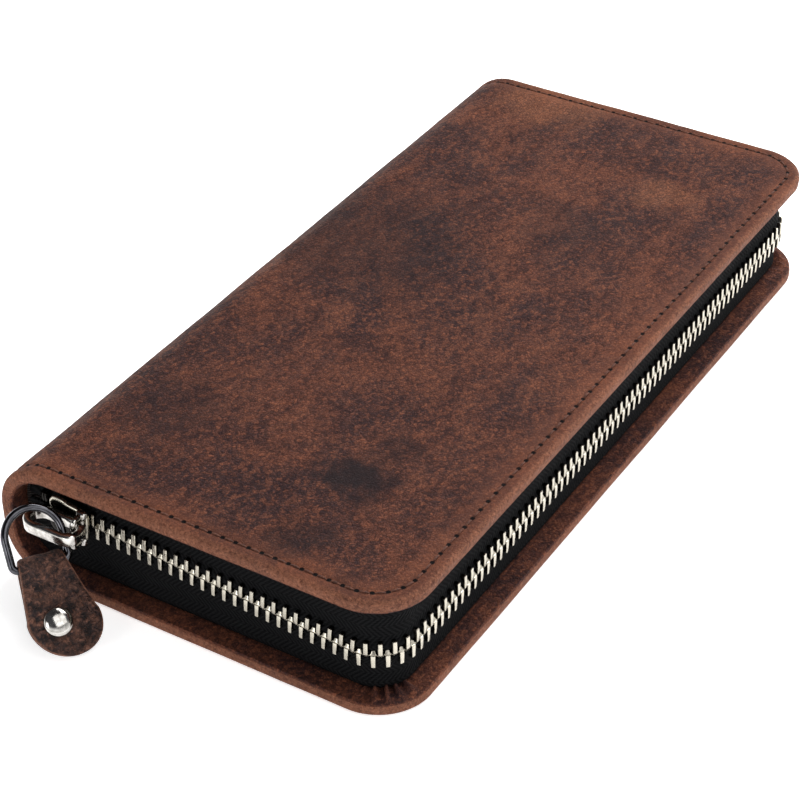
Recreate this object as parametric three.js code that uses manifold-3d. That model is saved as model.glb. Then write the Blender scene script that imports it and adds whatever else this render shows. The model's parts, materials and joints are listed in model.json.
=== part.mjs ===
// A zip-around leather wallet, closed and lying flat, in millimetres with +Z up.
// Two stiffened covers are joined by a soft rounded spine along +Y. A metal zip runs round the
// other three sides, and its slider, link, ring and leather tab hang at the -X end by the spine.
// Inside are a bank of card slots on each cover and a zipped coin pocket that stands on the spine.
// The origin is the middle of the underside.

import * as THREE from 'three';
import { mergeVertices } from 'three/addons/utils/BufferGeometryUtils.js';
import Module from 'manifold-3d';

const wasm = await Module();
wasm.setup();

// Driving dimensions.
const LENGTH = 190;
const WIDTH = 94.4;
const HEIGHT = 29;
const GAP = 0.3; // between pieces that touch

// Covers: leather turned over a board at the edges, with a lining inside.
const COVER = 3.1;
const CORNER_RADIUS = 12;
const TURNED_EDGE = 3;
const OUTER_LEATHER = 1.4;
const BOARD = 0.7;
const BEND_RADIUS = 12; // outside of the spine's two folds
const SPINE_LEATHER = 2;

// Main zip: number 5 metal teeth, 2.54 mm apart.
const ZIP_INSET = 4; // cover's edge to the middle of the tape
const TAPE = 0.7;
const TAPE_BACK = 42; // where both ends of the tapes stop, towards the spine
const TOOTH_PITCH = 2.54;
const TOOTH_DEPTH = 2.4; // through the tape
const TOOTH_RISE = 1.1; // half of how far the two rows reach into each other
const CHAIN_HALF = 2.9; // half of the closed chain's height
const CHAIN_FRONT_Z = 13; // middle of the chain along the front
const CHAIN_SLOPE = THREE.MathUtils.degToRad(4.5); // the chain climbs towards the spine
const TEETH_BACK_LEFT = 26;
const TEETH_BACK_RIGHT = 30;

// Slider, parked past the last teeth on the -X side.
const SLIDER_Y = 31;
const SLIDER_LENGTH = 9.6;
const SLIDER_FRONT_HALF = 3.9;
const SLIDER_BACK_HALF = 4.6;
const SLIDER_PLATE = 0.9;
const SLIDER_THROAT = 2.9; // between its two plates
const BAIL_WIRE = 1.2;
const BAIL_X = -96.4;
const BAIL_Y = 27.3;

// Pull: a cast link on the bail, a wire ring through the link, a leather tab on the ring.
const LINK_LENGTH = 13.6;
const LINK_WIDTH = 6.8;
const LINK_RIM = 1.6;
const LINK_THICK = 2.5;
const LINK_Z = 19.3;
const LINK_X = -97.05;
const LINK_FRONT = 24.6;
const RING_CENTRE = new THREE.Vector3(-101.6, 32.8, 19.25);
const RING_RADIUS = 5.7;
const RING_WIRE = 1.6;
const RING_LEGS = 5.9; // middle of the ring's arc to its straight bar
const RING_CORNER = 1.2;
const PULL_TURN = THREE.MathUtils.degToRad(-35.6); // ring's bar, seen from above
const PULL_LEAN = THREE.MathUtils.degToRad(46.2); // ring and tab, above the table
const TAB_TOP = 3; // above the ring's bar
const TAB_TOP_HALF = 4.1;
const TAB_ROUND = 7.2; // radius of the tab's lower end
const TAB_DROP = 11.7; // ring's bar to the middle of that end
const TAB_THICK = 2.8;
const TAB_FOLD_THICK = 4.4;
const RIVET_HEAD = 3;
const RIVET_POST = 1.1;

// Inside.
const SLOT_COUNT = 4;
const SLOT_LENGTH = 170;
const SLOT_LEATHER = 0.6;
const SLOT_STEP = 10;
const SLOT_FRONT = -36;
const SLOT_BACK = 34;
const COIN_LENGTH = 168;
const COIN_FRONT = -20;
const COIN_THICK = 4.8;
const COIN_WALL = 0.7;
const COIN_TAPE = 0.5;
const COIN_TAPE_WIDTH = 8.5;
const COIN_COIL = 1.5; // front to back
const COIN_SLIDER_X = -74;
const COIN_SLIDER_HALF = 3.5;
const COIN_SLIDER_PLATE = 0.7;
const COIN_PIN = 0.5;
const COIN_PULL_LENGTH = 12;

const HALF_LENGTH = LENGTH / 2;
const HALF_WIDTH = WIDTH / 2;
const MIDDLE = HEIGHT / 2;
const BEND_START = HALF_WIDTH - BEND_RADIUS;
const FOLD_EDGE = Math.PI / 4 - GAP / 2 / (BEND_RADIUS - COVER / 2);
const ARC_STEPS = 10;

function finish(color, roughness, metalness = 0) {
  return new THREE.MeshStandardMaterial({ color, roughness, metalness, flatShading: true });
}

const leather = finish(0x4b2d23, 0.75);
const pocketLeather = finish(0x53342a, 0.7);
const lining = finish(0x2a201c, 0.9);
const board = finish(0x8b7a60, 0.95);
const tape = finish(0x121214, 0.95);
const nylon = finish(0x1b1614, 0.5);
const nickel = finish(0xcbc7be, 0.25, 1);
const darkChrome = finish(0x6c6c70, 0.15, 1);

// --- geometry helpers -------------------------------------------------------------------------

/** A geometry that holds positions only, with shared corners merged. */
function merged(geometry) {
  geometry.deleteAttribute('normal');
  geometry.deleteAttribute('uv');
  return mergeVertices(geometry, 1e-4);
}

function manifoldOf(geometry) {
  const closed = merged(geometry);
  return new wasm.Manifold(new wasm.Mesh({
    numProp: 3,
    vertProperties: new Float32Array(closed.attributes.position.array),
    triVerts: new Uint32Array(closed.index.array),
  }));
}

function geometryOf(manifold) {
  const mesh = manifold.getMesh();
  const geometry = new THREE.BufferGeometry();
  geometry.setAttribute('position', new THREE.BufferAttribute(new Float32Array(mesh.vertProperties), 3));
  geometry.setIndex(new THREE.BufferAttribute(new Uint32Array(mesh.triVerts), 1));
  return geometry;
}

function joined(...geometries) {
  return geometryOf(geometries.map(manifoldOf).reduce((all, next) => all.add(next)));
}

function cut(geometry, ...tools) {
  return geometryOf(tools.map(manifoldOf).reduce((all, tool) => all.subtract(tool), manifoldOf(geometry)));
}

function common(first, second) {
  return geometryOf(manifoldOf(first).intersect(manifoldOf(second)));
}

/** A box between two corners. */
function box(x0, y0, z0, x1, y1, z1) {
  const geometry = new THREE.BoxGeometry(x1 - x0, y1 - y0, z1 - z0);
  return geometry.translate((x0 + x1) / 2, (y0 + y1) / 2, (z0 + z1) / 2);
}

/** An outline in X and Y, made solid from z0 to z1. */
function prism(shape, z0, z1, curveSegments = ARC_STEPS) {
  const geometry = new THREE.ExtrudeGeometry(shape, { depth: z1 - z0, bevelEnabled: false, curveSegments });
  return geometry.translate(0, 0, z0);
}

/** An outline in Y and Z, made solid from -half to +half along X. */
function prismAlongX(shape, half) {
  const alongX = new THREE.Matrix4().makeBasis(
    new THREE.Vector3(0, 1, 0),
    new THREE.Vector3(0, 0, 1),
    new THREE.Vector3(1, 0, 0),
  );
  return prism(shape, -half, half).applyMatrix4(alongX);
}

/** A straight round bar along local Y, centred on the origin. */
function roundBar(radius, length, sides = 16) {
  return new THREE.CylinderGeometry(radius, radius, length, sides);
}

/** The same piece for the other cover: mirrored about mid-height. */
function mirrored(geometry) {
  const other = merged(geometry.clone());
  other.scale(1, 1, -1).translate(0, 0, HEIGHT);
  const index = other.index.array;
  for (let i = 0; i < index.length; i += 3) {
    [index[i], index[i + 1]] = [index[i + 1], index[i]];
  }
  return other;
}

function add(group, name, geometry, material) {
  const mesh = new THREE.Mesh(geometry, material);
  mesh.name = name;
  group.add(mesh);
  return mesh;
}

// --- covers and spine -------------------------------------------------------------------------

/** A cover's flat outline: two round corners in front, straight across at the back. */
function coverOutline(inset, back) {
  const x = HALF_LENGTH - inset;
  const front = -(HALF_WIDTH - inset);
  const radius = CORNER_RADIUS - inset;
  const shape = new THREE.Shape();
  shape.moveTo(x, back);
  shape.lineTo(-x, back);
  shape.lineTo(-x, front + radius);
  shape.absarc(-x + radius, front + radius, radius, Math.PI, 1.5 * Math.PI, false);
  shape.lineTo(x - radius, front);
  shape.absarc(x - radius, front + radius, radius, 1.5 * Math.PI, 2 * Math.PI, false);
  shape.closePath();
  return shape;
}

/** The quarter bend between the bottom cover and the spine, as far as the fold line. */
function bottomBend() {
  const shape = new THREE.Shape();
  shape.moveTo(BEND_START - 1, 0);
  shape.absarc(BEND_START, BEND_RADIUS, BEND_RADIUS, -Math.PI / 2, -Math.PI / 2 + FOLD_EDGE, false);
  shape.absarc(BEND_START, BEND_RADIUS, BEND_RADIUS - COVER, -Math.PI / 2 + FOLD_EDGE, -Math.PI / 2, true);
  shape.lineTo(BEND_START - 1, COVER);
  shape.closePath();
  return prismAlongX(shape, HALF_LENGTH);
}

function coverLeather() {
  const plate = prism(coverOutline(0, BEND_START), 0, COVER);
  const recess = prism(coverOutline(TURNED_EDGE, BEND_START - GAP), OUTER_LEATHER, COVER + 1);
  return cut(joined(plate, bottomBend()), recess);
}

/** A sheet that lies in the cover's recess. */
function coverSheet(z0, z1) {
  return prism(coverOutline(TURNED_EDGE + GAP, BEND_START - 2 * GAP), z0, z1);
}

/** The spine's section, between two depths from its outside. */
function spineSection(outer, inner) {
  const shape = new THREE.Shape();
  const top = HEIGHT - BEND_RADIUS;
  shape.absarc(BEND_START, BEND_RADIUS, BEND_RADIUS - outer, -FOLD_EDGE, 0, false);
  shape.absarc(BEND_START, top, BEND_RADIUS - outer, 0, FOLD_EDGE, false);
  shape.absarc(BEND_START, top, BEND_RADIUS - inner, FOLD_EDGE, 0, true);
  shape.absarc(BEND_START, BEND_RADIUS, BEND_RADIUS - inner, 0, -FOLD_EDGE, true);
  shape.closePath();
  return shape;
}

function spineLeather() {
  const whole = prismAlongX(spineSection(0, COVER), HALF_LENGTH);
  const recess = prismAlongX(spineSection(SPINE_LEATHER, COVER + 1), HALF_LENGTH - TURNED_EDGE);
  return cut(whole, recess);
}

// --- main zip ---------------------------------------------------------------------------------

const ZIP_X = HALF_LENGTH - ZIP_INSET;
const ZIP_RADIUS = CORNER_RADIUS - ZIP_INSET;
const CORNER_Y = -HALF_WIDTH + CORNER_RADIUS; // where the front corners start on the short sides
const SIDE_RUN = TAPE_BACK - CORNER_Y;
const CORNER_RUN = ZIP_RADIUS * Math.PI / 2;
const ZIP_RUN = 2 * (SIDE_RUN + CORNER_RUN + ZIP_X - ZIP_RADIUS);

/** The zip's middle line: a point and its outward direction, s along it from the -X end. */
function zipPath(s) {
  if (s > ZIP_RUN / 2) {
    const twin = zipPath(ZIP_RUN - s);
    return { x: -twin.x, y: twin.y, outX: -twin.outX, outY: twin.outY };
  }
  if (s <= SIDE_RUN) {
    return { x: -ZIP_X, y: TAPE_BACK - s, outX: -1, outY: 0 };
  }
  if (s < SIDE_RUN + CORNER_RUN) {
    const turn = (s - SIDE_RUN) / ZIP_RADIUS;
    const outX = -Math.cos(turn);
    const outY = -Math.sin(turn);
    return {
      x: -ZIP_X + ZIP_RADIUS + outX * ZIP_RADIUS,
      y: CORNER_Y + outY * ZIP_RADIUS,
      outX,
      outY,
    };
  }
  return { x: -ZIP_X + ZIP_RADIUS + s - SIDE_RUN - CORNER_RUN, y: CORNER_Y - ZIP_RADIUS, outX: 0, outY: -1 };
}

function chainHeight(y) {
  return CHAIN_FRONT_Z + Math.max(0, y - CORNER_Y) * Math.tan(CHAIN_SLOPE);
}

/** Height of the bottom cover's inside, which curves up at the spine. */
function floorHeight(y) {
  const past = Math.max(0, y - BEND_START);
  return BEND_RADIUS - Math.sqrt((BEND_RADIUS - COVER) ** 2 - past ** 2);
}

/** A wall along the zip's path, with its low and high edge given at each station. */
function wall(stations, thickness, low, high) {
  const positions = [];
  const index = [];
  for (const s of stations) {
    const { x, y, outX, outY } = zipPath(s);
    const half = thickness / 2;
    const z0 = low(s, y);
    const z1 = high(s, y);
    positions.push(x + outX * half, y + outY * half, z0);
    positions.push(x + outX * half, y + outY * half, z1);
    positions.push(x - outX * half, y - outY * half, z1);
    positions.push(x - outX * half, y - outY * half, z0);
  }
  const last = 4 * (stations.length - 1);
  for (let i = 0; i < last; i += 4) {
    for (let corner = 0; corner < 4; corner++) {
      const a = i + corner;
      const b = i + (corner + 1) % 4;
      index.push(a, a + 4, b, b, a + 4, b + 4);
    }
  }
  index.push(0, 1, 2, 0, 2, 3);
  index.push(last, last + 2, last + 1, last, last + 3, last + 2);
  const geometry = new THREE.BufferGeometry();
  geometry.setAttribute('position', new THREE.Float32BufferAttribute(positions, 3));
  geometry.setIndex(index);
  return geometry;
}

/** Stations for the tapes: close together only where the path or its edges curve. */
function tapeStations() {
  const stations = [];
  for (let i = 0; i <= 3; i++) {
    stations.push((TAPE_BACK - BEND_START) * i / 3);
  }
  for (let i = 0; i <= ARC_STEPS; i++) {
    stations.push(SIDE_RUN + CORNER_RUN * i / ARC_STEPS);
  }
  const back = stations.map((s) => ZIP_RUN - s).reverse();
  return [...stations, ...back];
}

function lowerTape() {
  const low = (s, y) => floorHeight(y) + GAP;
  const high = (s, y) => chainHeight(y) - CHAIN_HALF - GAP;
  return wall(tapeStations(), TAPE, low, high);
}

function upperTape() {
  const low = (s, y) => chainHeight(y) + CHAIN_HALF + GAP;
  const high = (s, y) => HEIGHT - floorHeight(y) - GAP;
  return wall(tapeStations(), TAPE, low, high);
}

/** Stations for the teeth: one on each tip and one in each notch. */
function toothStations() {
  const first = TAPE_BACK - TEETH_BACK_LEFT;
  const last = ZIP_RUN - (TAPE_BACK - TEETH_BACK_RIGHT);
  const steps = 2 * Math.floor((last - first) / TOOTH_PITCH);
  return Array.from({ length: steps + 1 }, (_, i) => first + i * TOOTH_PITCH / 2);
}

/** The zigzag that both rows follow, which is up at every other station. */
function zigzag(s) {
  const step = Math.round((s - (TAPE_BACK - TEETH_BACK_LEFT)) / (TOOTH_PITCH / 2));
  return step % 2 ? TOOTH_RISE : -TOOTH_RISE;
}

function lowerTeeth() {
  const low = (s, y) => chainHeight(y) - CHAIN_HALF;
  const high = (s, y) => chainHeight(y) - GAP + zigzag(s);
  return wall(toothStations(), TOOTH_DEPTH, low, high);
}

function upperTeeth() {
  const low = (s, y) => chainHeight(y) + GAP + zigzag(s);
  const high = (s, y) => chainHeight(y) + CHAIN_HALF;
  return wall(toothStations(), TOOTH_DEPTH, low, high);
}

/** A small clamp on a tape's edge: side -1 stops the slider, side 1 ends the row of teeth. */
function endStop(side, above) {
  const y = side < 0 ? SLIDER_Y + SLIDER_LENGTH / 2 + 1.8 : TEETH_BACK_RIGHT + 1.6;
  const height = 2.2;
  const z0 = chainHeight(y) + (above ? CHAIN_HALF - height : -CHAIN_HALF);
  const half = TOOTH_DEPTH / 2;
  return box(side * ZIP_X - half, y - 1, z0, side * ZIP_X + half, y + 1, z0 + height);
}

// --- slider and its bail, in the slider's own place -------------------------------------------
// The origin is on the chain's middle line, -X faces out of the wallet, +Y runs towards the spine.

function sliderPlate(x0) {
  const half = SLIDER_LENGTH / 2;
  const shape = new THREE.Shape();
  shape.moveTo(-half, -SLIDER_FRONT_HALF + 1);
  shape.lineTo(-half + 1, -SLIDER_FRONT_HALF);
  shape.lineTo(half - 2, -SLIDER_BACK_HALF);
  shape.lineTo(half, -SLIDER_BACK_HALF + 1.6);
  shape.lineTo(half - 1.2, 0);
  shape.lineTo(half, SLIDER_BACK_HALF - 1.6);
  shape.lineTo(half - 2, SLIDER_BACK_HALF);
  shape.lineTo(-half + 1, SLIDER_FRONT_HALF);
  shape.lineTo(-half, SLIDER_FRONT_HALF - 1);
  shape.closePath();
  return prismAlongX(shape, SLIDER_PLATE / 2).translate(x0 + SLIDER_PLATE / 2, 0, 0);
}

function sliderBody() {
  const throat = SLIDER_THROAT / 2;
  const outer = sliderPlate(-throat - SLIDER_PLATE);
  const inner = sliderPlate(throat);
  const post = box(-throat - 0.2, 0.6, -1.1, throat + 0.2, SLIDER_LENGTH / 2 - 1.5, 1.1);
  const lips = [];
  const slot = TAPE / 2 + 0.25;
  const lipLow = CHAIN_HALF + 0.2;
  for (const face of [-1, 1]) {
    for (const edge of [-1, 1]) {
      const x = [face * slot, face * (throat + 0.2)].sort((a, b) => a - b);
      const z = [edge * lipLow, edge * SLIDER_FRONT_HALF].sort((a, b) => a - b);
      lips.push(box(x[0], -SLIDER_LENGTH / 2 + 1, z[0], x[1], SLIDER_LENGTH / 2 - 2, z[1]));
    }
  }
  return joined(outer, inner, post, ...lips);
}

/** A hoop of wire on the slider's outer plate, with its bar standing off for the link. */
function sliderBail() {
  const wire = BAIL_WIRE / 2;
  const barX = BAIL_X + ZIP_X;
  const plateX = -SLIDER_THROAT / 2 - SLIDER_PLATE - GAP;
  const reach = 3.4;
  const bar = roundBar(wire, 2 * reach + 2 * wire).rotateX(Math.PI / 2).translate(barX, 0, 0);
  const feet = [-1, 1].map((end) => box(barX, -wire, end * reach - wire, plateX, wire, end * reach + wire));
  return joined(bar, ...feet).translate(0, BAIL_Y - SLIDER_Y, 0);
}

// --- link, ring and tab -----------------------------------------------------------------------

/** An oval with straight sides, length along Y. */
function oval(halfWidth, length) {
  const run = length / 2 - halfWidth;
  const shape = new THREE.Shape();
  shape.absarc(0, run, halfWidth, 0, Math.PI, false);
  shape.absarc(0, -run, halfWidth, Math.PI, 2 * Math.PI, false);
  shape.closePath();
  return shape;
}

function pullLink() {
  const shape = oval(LINK_WIDTH / 2, LINK_LENGTH);
  shape.holes.push(oval(LINK_WIDTH / 2 - LINK_RIM, LINK_LENGTH - 2 * LINK_RIM));
  return prism(shape, -LINK_THICK / 2, LINK_THICK / 2);
}

/** The ring's centre line: a half circle over two legs and a straight bar, in local X and Y. */
function ringLine() {
  const corner = RING_RADIUS - RING_CORNER;
  const shape = new THREE.Shape();
  shape.absarc(0, 0, RING_RADIUS, 0, Math.PI, false);
  shape.absarc(-corner, -RING_LEGS + RING_CORNER, RING_CORNER, Math.PI, 1.5 * Math.PI, false);
  shape.absarc(corner, -RING_LEGS + RING_CORNER, RING_CORNER, 1.5 * Math.PI, 2 * Math.PI, false);
  shape.closePath();
  return new THREE.CatmullRomCurve3(
    shape.getSpacedPoints(48).slice(0, -1).map((p) => new THREE.Vector3(p.x, p.y, 0)),
    true,
  );
}

/** Wire ring, swept as a closed tube: each section joins the next and the last joins the first. */
function pullRing() {
  const steps = 48;
  const sides = 8;
  const line = ringLine();
  const positions = [];
  const index = [];
  for (let i = 0; i < steps; i++) {
    const centre = line.getPointAt(i / steps);
    const along = line.getTangentAt(i / steps);
    const across = new THREE.Vector3(along.y, -along.x, 0);
    for (let k = 0; k < sides; k++) {
      const angle = 2 * Math.PI * k / sides;
      const out = across.clone().multiplyScalar(Math.cos(angle) * RING_WIRE / 2);
      positions.push(centre.x + out.x, centre.y + out.y, Math.sin(angle) * RING_WIRE / 2);
      const a = i * sides + k;
      const b = i * sides + (k + 1) % sides;
      const nextA = (a + sides) % (steps * sides);
      const nextB = (b + sides) % (steps * sides);
      index.push(a, nextA, b, b, nextA, nextB);
    }
  }
  const geometry = new THREE.BufferGeometry();
  geometry.setAttribute('position', new THREE.Float32BufferAttribute(positions, 3));
  geometry.setIndex(index);
  return geometry;
}

/** Tab outline in local X and Y, the ring's bar at the origin: a round end under tapering sides. */
function tabOutline() {
  const shape = new THREE.Shape();
  const lean = Math.atan2(TAB_ROUND - TAB_TOP_HALF, TAB_TOP + TAB_DROP);
  shape.absarc(0, -TAB_DROP, TAB_ROUND, Math.PI - lean, 2 * Math.PI + lean, false);
  shape.lineTo(TAB_TOP_HALF, TAB_TOP);
  shape.lineTo(-TAB_TOP_HALF, TAB_TOP);
  shape.closePath();
  return shape;
}

/** Two layers of leather folded over the ring's bar, drawn as one piece with a hole for the bar. */
function tabLeather() {
  const side = new THREE.Shape();
  const fold = TAB_FOLD_THICK / 2;
  const flat = TAB_THICK / 2;
  side.moveTo(TAB_TOP, -fold + 1);
  side.lineTo(TAB_TOP, fold - 1);
  side.lineTo(TAB_TOP - 1, fold);
  side.lineTo(-2, fold);
  side.lineTo(-6, flat);
  side.lineTo(-TAB_DROP - TAB_ROUND - 1, flat);
  side.lineTo(-TAB_DROP - TAB_ROUND - 1, -flat);
  side.lineTo(-6, -flat);
  side.lineTo(-2, -fold);
  side.lineTo(TAB_TOP - 1, -fold);
  side.closePath();
  const body = common(prismAlongX(side, TAB_ROUND + 1), prism(tabOutline(), -fold - 1, fold + 1, 16));
  const barHole = roundBar(RING_WIRE / 2 + GAP, 2 * TAB_ROUND + 2).rotateZ(Math.PI / 2);
  const rivetHole = roundBar(RIVET_POST + GAP, 2 * TAB_FOLD_THICK)
    .rotateX(Math.PI / 2)
    .translate(0, -TAB_DROP, 0);
  return cut(body, barHole, rivetHole);
}

/** Domed head over the front of the tab. */
function rivetCap() {
  const face = TAB_THICK / 2 + GAP;
  const profile = [new THREE.Vector2(0, face)];
  profile.push(new THREE.Vector2(RIVET_HEAD, face));
  for (let i = 1; i <= 5; i++) {
    const angle = Math.PI / 2 * i / 5;
    const radius = i === 5 ? 0 : RIVET_HEAD * Math.cos(angle);
    profile.push(new THREE.Vector2(radius, face + 0.2 + 1.3 * Math.sin(angle)));
  }
  return new THREE.LatheGeometry(profile, 24).rotateX(Math.PI / 2).translate(0, -TAB_DROP, 0);
}

/** Post through the tab, with a flat head behind it. */
function rivetBack() {
  const face = TAB_THICK / 2 + GAP;
  const profile = [[0, -face - 0.7], [RIVET_HEAD - 0.6, -face - 0.7], [RIVET_HEAD - 0.3, -face]];
  profile.push([RIVET_POST, -face], [RIVET_POST, face - GAP], [0, face - GAP]);
  const lathe = new THREE.LatheGeometry(profile.map(([r, h]) => new THREE.Vector2(r, h)), 24);
  return lathe.rotateX(Math.PI / 2).translate(0, -TAB_DROP, 0);
}

// --- inside -----------------------------------------------------------------------------------

/** One tier of card slots. Each tier lies on the one before and starts further back. */
function cardSlot(tier) {
  const z0 = COVER + GAP + tier * (SLOT_LEATHER + GAP);
  const front = SLOT_FRONT + tier * SLOT_STEP;
  return box(-SLOT_LENGTH / 2, front, z0, SLOT_LENGTH / 2, SLOT_BACK, z0 + SLOT_LEATHER);
}

/** Coin pocket: a flat bag, closed along the spine and at both ends, open to the front. */
function coinBag() {
  const x = COIN_LENGTH / 2;
  const half = COIN_THICK / 2;
  const back = HALF_WIDTH - COVER - GAP;
  const outside = box(-x, COIN_FRONT, MIDDLE - half, x, back, MIDDLE + half);
  const inside = box(
    -x + COIN_WALL, COIN_FRONT - 1, MIDDLE - half + COIN_WALL,
    x - COIN_WALL, back - COIN_WALL, MIDDLE + half - COIN_WALL,
  );
  return cut(outside, inside);
}

/** Two heights, measured from mid-height upward or downward, lowest first. */
function coinZ(above, far, near) {
  return above ? [MIDDLE + near, MIDDLE + far] : [MIDDLE - far, MIDDLE - near];
}

const COIN_INSIDE = COIN_THICK / 2 - COIN_WALL - GAP; // mid-height to the far side of a tape
const COIN_TAPE_FRONT = COIN_FRONT - 1.5;
const COIN_COIL_FRONT = COIN_TAPE_FRONT - GAP - COIN_COIL;
const COIN_SLIDER_FRONT = COIN_COIL_FRONT - GAP - COIN_SLIDER_PLATE;
const COIN_PIN_Y = COIN_SLIDER_FRONT - 1.9;

/** One of the coin zip's two tapes, which stands in the bag's mouth against a wall. */
function coinTape(above) {
  const z = coinZ(above, COIN_INSIDE, COIN_INSIDE - COIN_TAPE);
  const x = COIN_LENGTH / 2 - COIN_WALL - GAP;
  return box(-x, COIN_TAPE_FRONT, z[0], x, COIN_TAPE_FRONT + COIN_TAPE_WIDTH, z[1]);
}

/** One of the coin zip's two coils, in front of its tape. */
function coinCoil(above) {
  const z = coinZ(above, COIN_INSIDE, GAP / 2);
  const x = COIN_LENGTH / 2 - COIN_WALL - 2;
  return box(-x, COIN_COIL_FRONT, z[0], x, COIN_COIL_FRONT + COIN_COIL, z[1]);
}

/** Coin zip's slider: a shell over the front of the coils, with a pin for its pull. */
function coinSlider() {
  const half = COIN_THICK / 2;
  const front = COIN_SLIDER_FRONT;
  const wall = 0.4;
  const shell = box(-COIN_SLIDER_HALF, front, -half, COIN_SLIDER_HALF, front + 3.3, half);
  const channel = box(
    -COIN_SLIDER_HALF - 1, front + COIN_SLIDER_PLATE, -half + wall,
    COIN_SLIDER_HALF + 1, front + 4, half - wall,
  );
  const pin = roundBar(COIN_PIN, COIN_THICK, 12).rotateX(Math.PI / 2).translate(0, COIN_PIN_Y, 0);
  const feet = [-1, 1].map((end) => {
    const z = end * (half - wall);
    return box(-COIN_PIN, COIN_PIN_Y, z - wall, COIN_PIN, front + 0.1, z + wall);
  });
  return joined(cut(shell, channel), pin, ...feet).translate(COIN_SLIDER_X, 0, MIDDLE);
}

/** Coin zip's pull: a flat tongue with an eye round the slider's pin. */
function coinPull() {
  const eyeHalf = 1.2;
  const eye = prism(circleShape(1.5), -eyeHalf, eyeHalf);
  const tongue = box(1, -0.5, -1.8, COIN_PULL_LENGTH, 0.5, 1.8);
  const hole = prism(circleShape(COIN_PIN + GAP), -eyeHalf - 1, eyeHalf + 1);
  return cut(joined(eye, tongue), hole).translate(COIN_SLIDER_X, COIN_PIN_Y, MIDDLE);
}

function circleShape(radius) {
  const shape = new THREE.Shape();
  shape.absarc(0, 0, radius, 0, 2 * Math.PI, false);
  return shape;
}

// --- assembly ---------------------------------------------------------------------------------

const wallet = new THREE.Group();
const bottom = new THREE.Group();
const spine = new THREE.Group();
const top = new THREE.Group();
wallet.add(bottom, spine, top);

const boardLow = OUTER_LEATHER + GAP;
const liningLow = boardLow + BOARD + GAP;
add(bottom, 'bottom_cover_leather', coverLeather(), leather);
add(bottom, 'bottom_cover_board', coverSheet(boardLow, boardLow + BOARD), board);
add(bottom, 'bottom_cover_lining', coverSheet(liningLow, COVER), lining);
add(bottom, 'lower_zip_tape', lowerTape(), tape);
add(bottom, 'lower_teeth', lowerTeeth(), nickel);
add(bottom, 'lower_stop_left', endStop(-1, false), nickel);
add(bottom, 'lower_stop_right', endStop(1, false), nickel);

add(spine, 'spine_leather', spineLeather(), leather);
add(
  spine,
  'spine_lining',
  prismAlongX(spineSection(SPINE_LEATHER + GAP, COVER), HALF_LENGTH - TURNED_EDGE - GAP),
  lining,
);

add(top, 'top_cover_leather', mirrored(coverLeather()), leather);
add(top, 'top_cover_board', mirrored(coverSheet(boardLow, boardLow + BOARD)), board);
add(top, 'top_cover_lining', mirrored(coverSheet(liningLow, COVER)), lining);
add(top, 'upper_zip_tape', upperTape(), tape);
add(top, 'upper_teeth', upperTeeth(), nickel);
add(top, 'upper_stop_left', endStop(-1, true), nickel);
add(top, 'upper_stop_right', endStop(1, true), nickel);

for (let tier = 0; tier < SLOT_COUNT; tier++) {
  add(bottom, `lower_card_slot_${tier + 1}`, cardSlot(tier), pocketLeather);
  add(top, `upper_card_slot_${tier + 1}`, mirrored(cardSlot(tier)), pocketLeather);
}

add(spine, 'coin_bag', coinBag(), lining);
add(spine, 'coin_tape_lower', coinTape(false), tape);
add(spine, 'coin_tape_upper', coinTape(true), tape);
add(spine, 'coin_coil_lower', coinCoil(false), nylon);
add(spine, 'coin_coil_upper', coinCoil(true), nylon);
add(spine, 'coin_slider', coinSlider(), nickel);
add(spine, 'coin_pull', coinPull(), nickel);

const slider = new THREE.Group();
slider.position.set(-ZIP_X, SLIDER_Y, chainHeight(SLIDER_Y));
slider.rotation.x = CHAIN_SLOPE;
add(slider, 'slider_body', sliderBody(), nickel);
add(slider, 'slider_bail', sliderBail(), nickel);
wallet.add(slider);

const link = add(wallet, 'pull_link', pullLink(), nickel);
link.position.set(LINK_X, LINK_FRONT + LINK_LENGTH / 2, LINK_Z);

const hanging = new THREE.Group();
hanging.position.copy(RING_CENTRE);
hanging.rotation.set(PULL_LEAN, 0, PULL_TURN, 'ZXY');
add(hanging, 'pull_ring', pullRing(), darkChrome);
const tab = new THREE.Group();
tab.position.y = -RING_LEGS;
add(tab, 'tab_leather', tabLeather(), leather);
add(tab, 'tab_rivet_cap', rivetCap(), nickel);
add(tab, 'tab_rivet_back', rivetBack(), nickel);
hanging.add(tab);
wallet.add(hanging);

export default wallet;
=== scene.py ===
import json
import math

import bmesh
import bpy
import numpy as np
from mathutils import Matrix, Vector, noise


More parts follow.
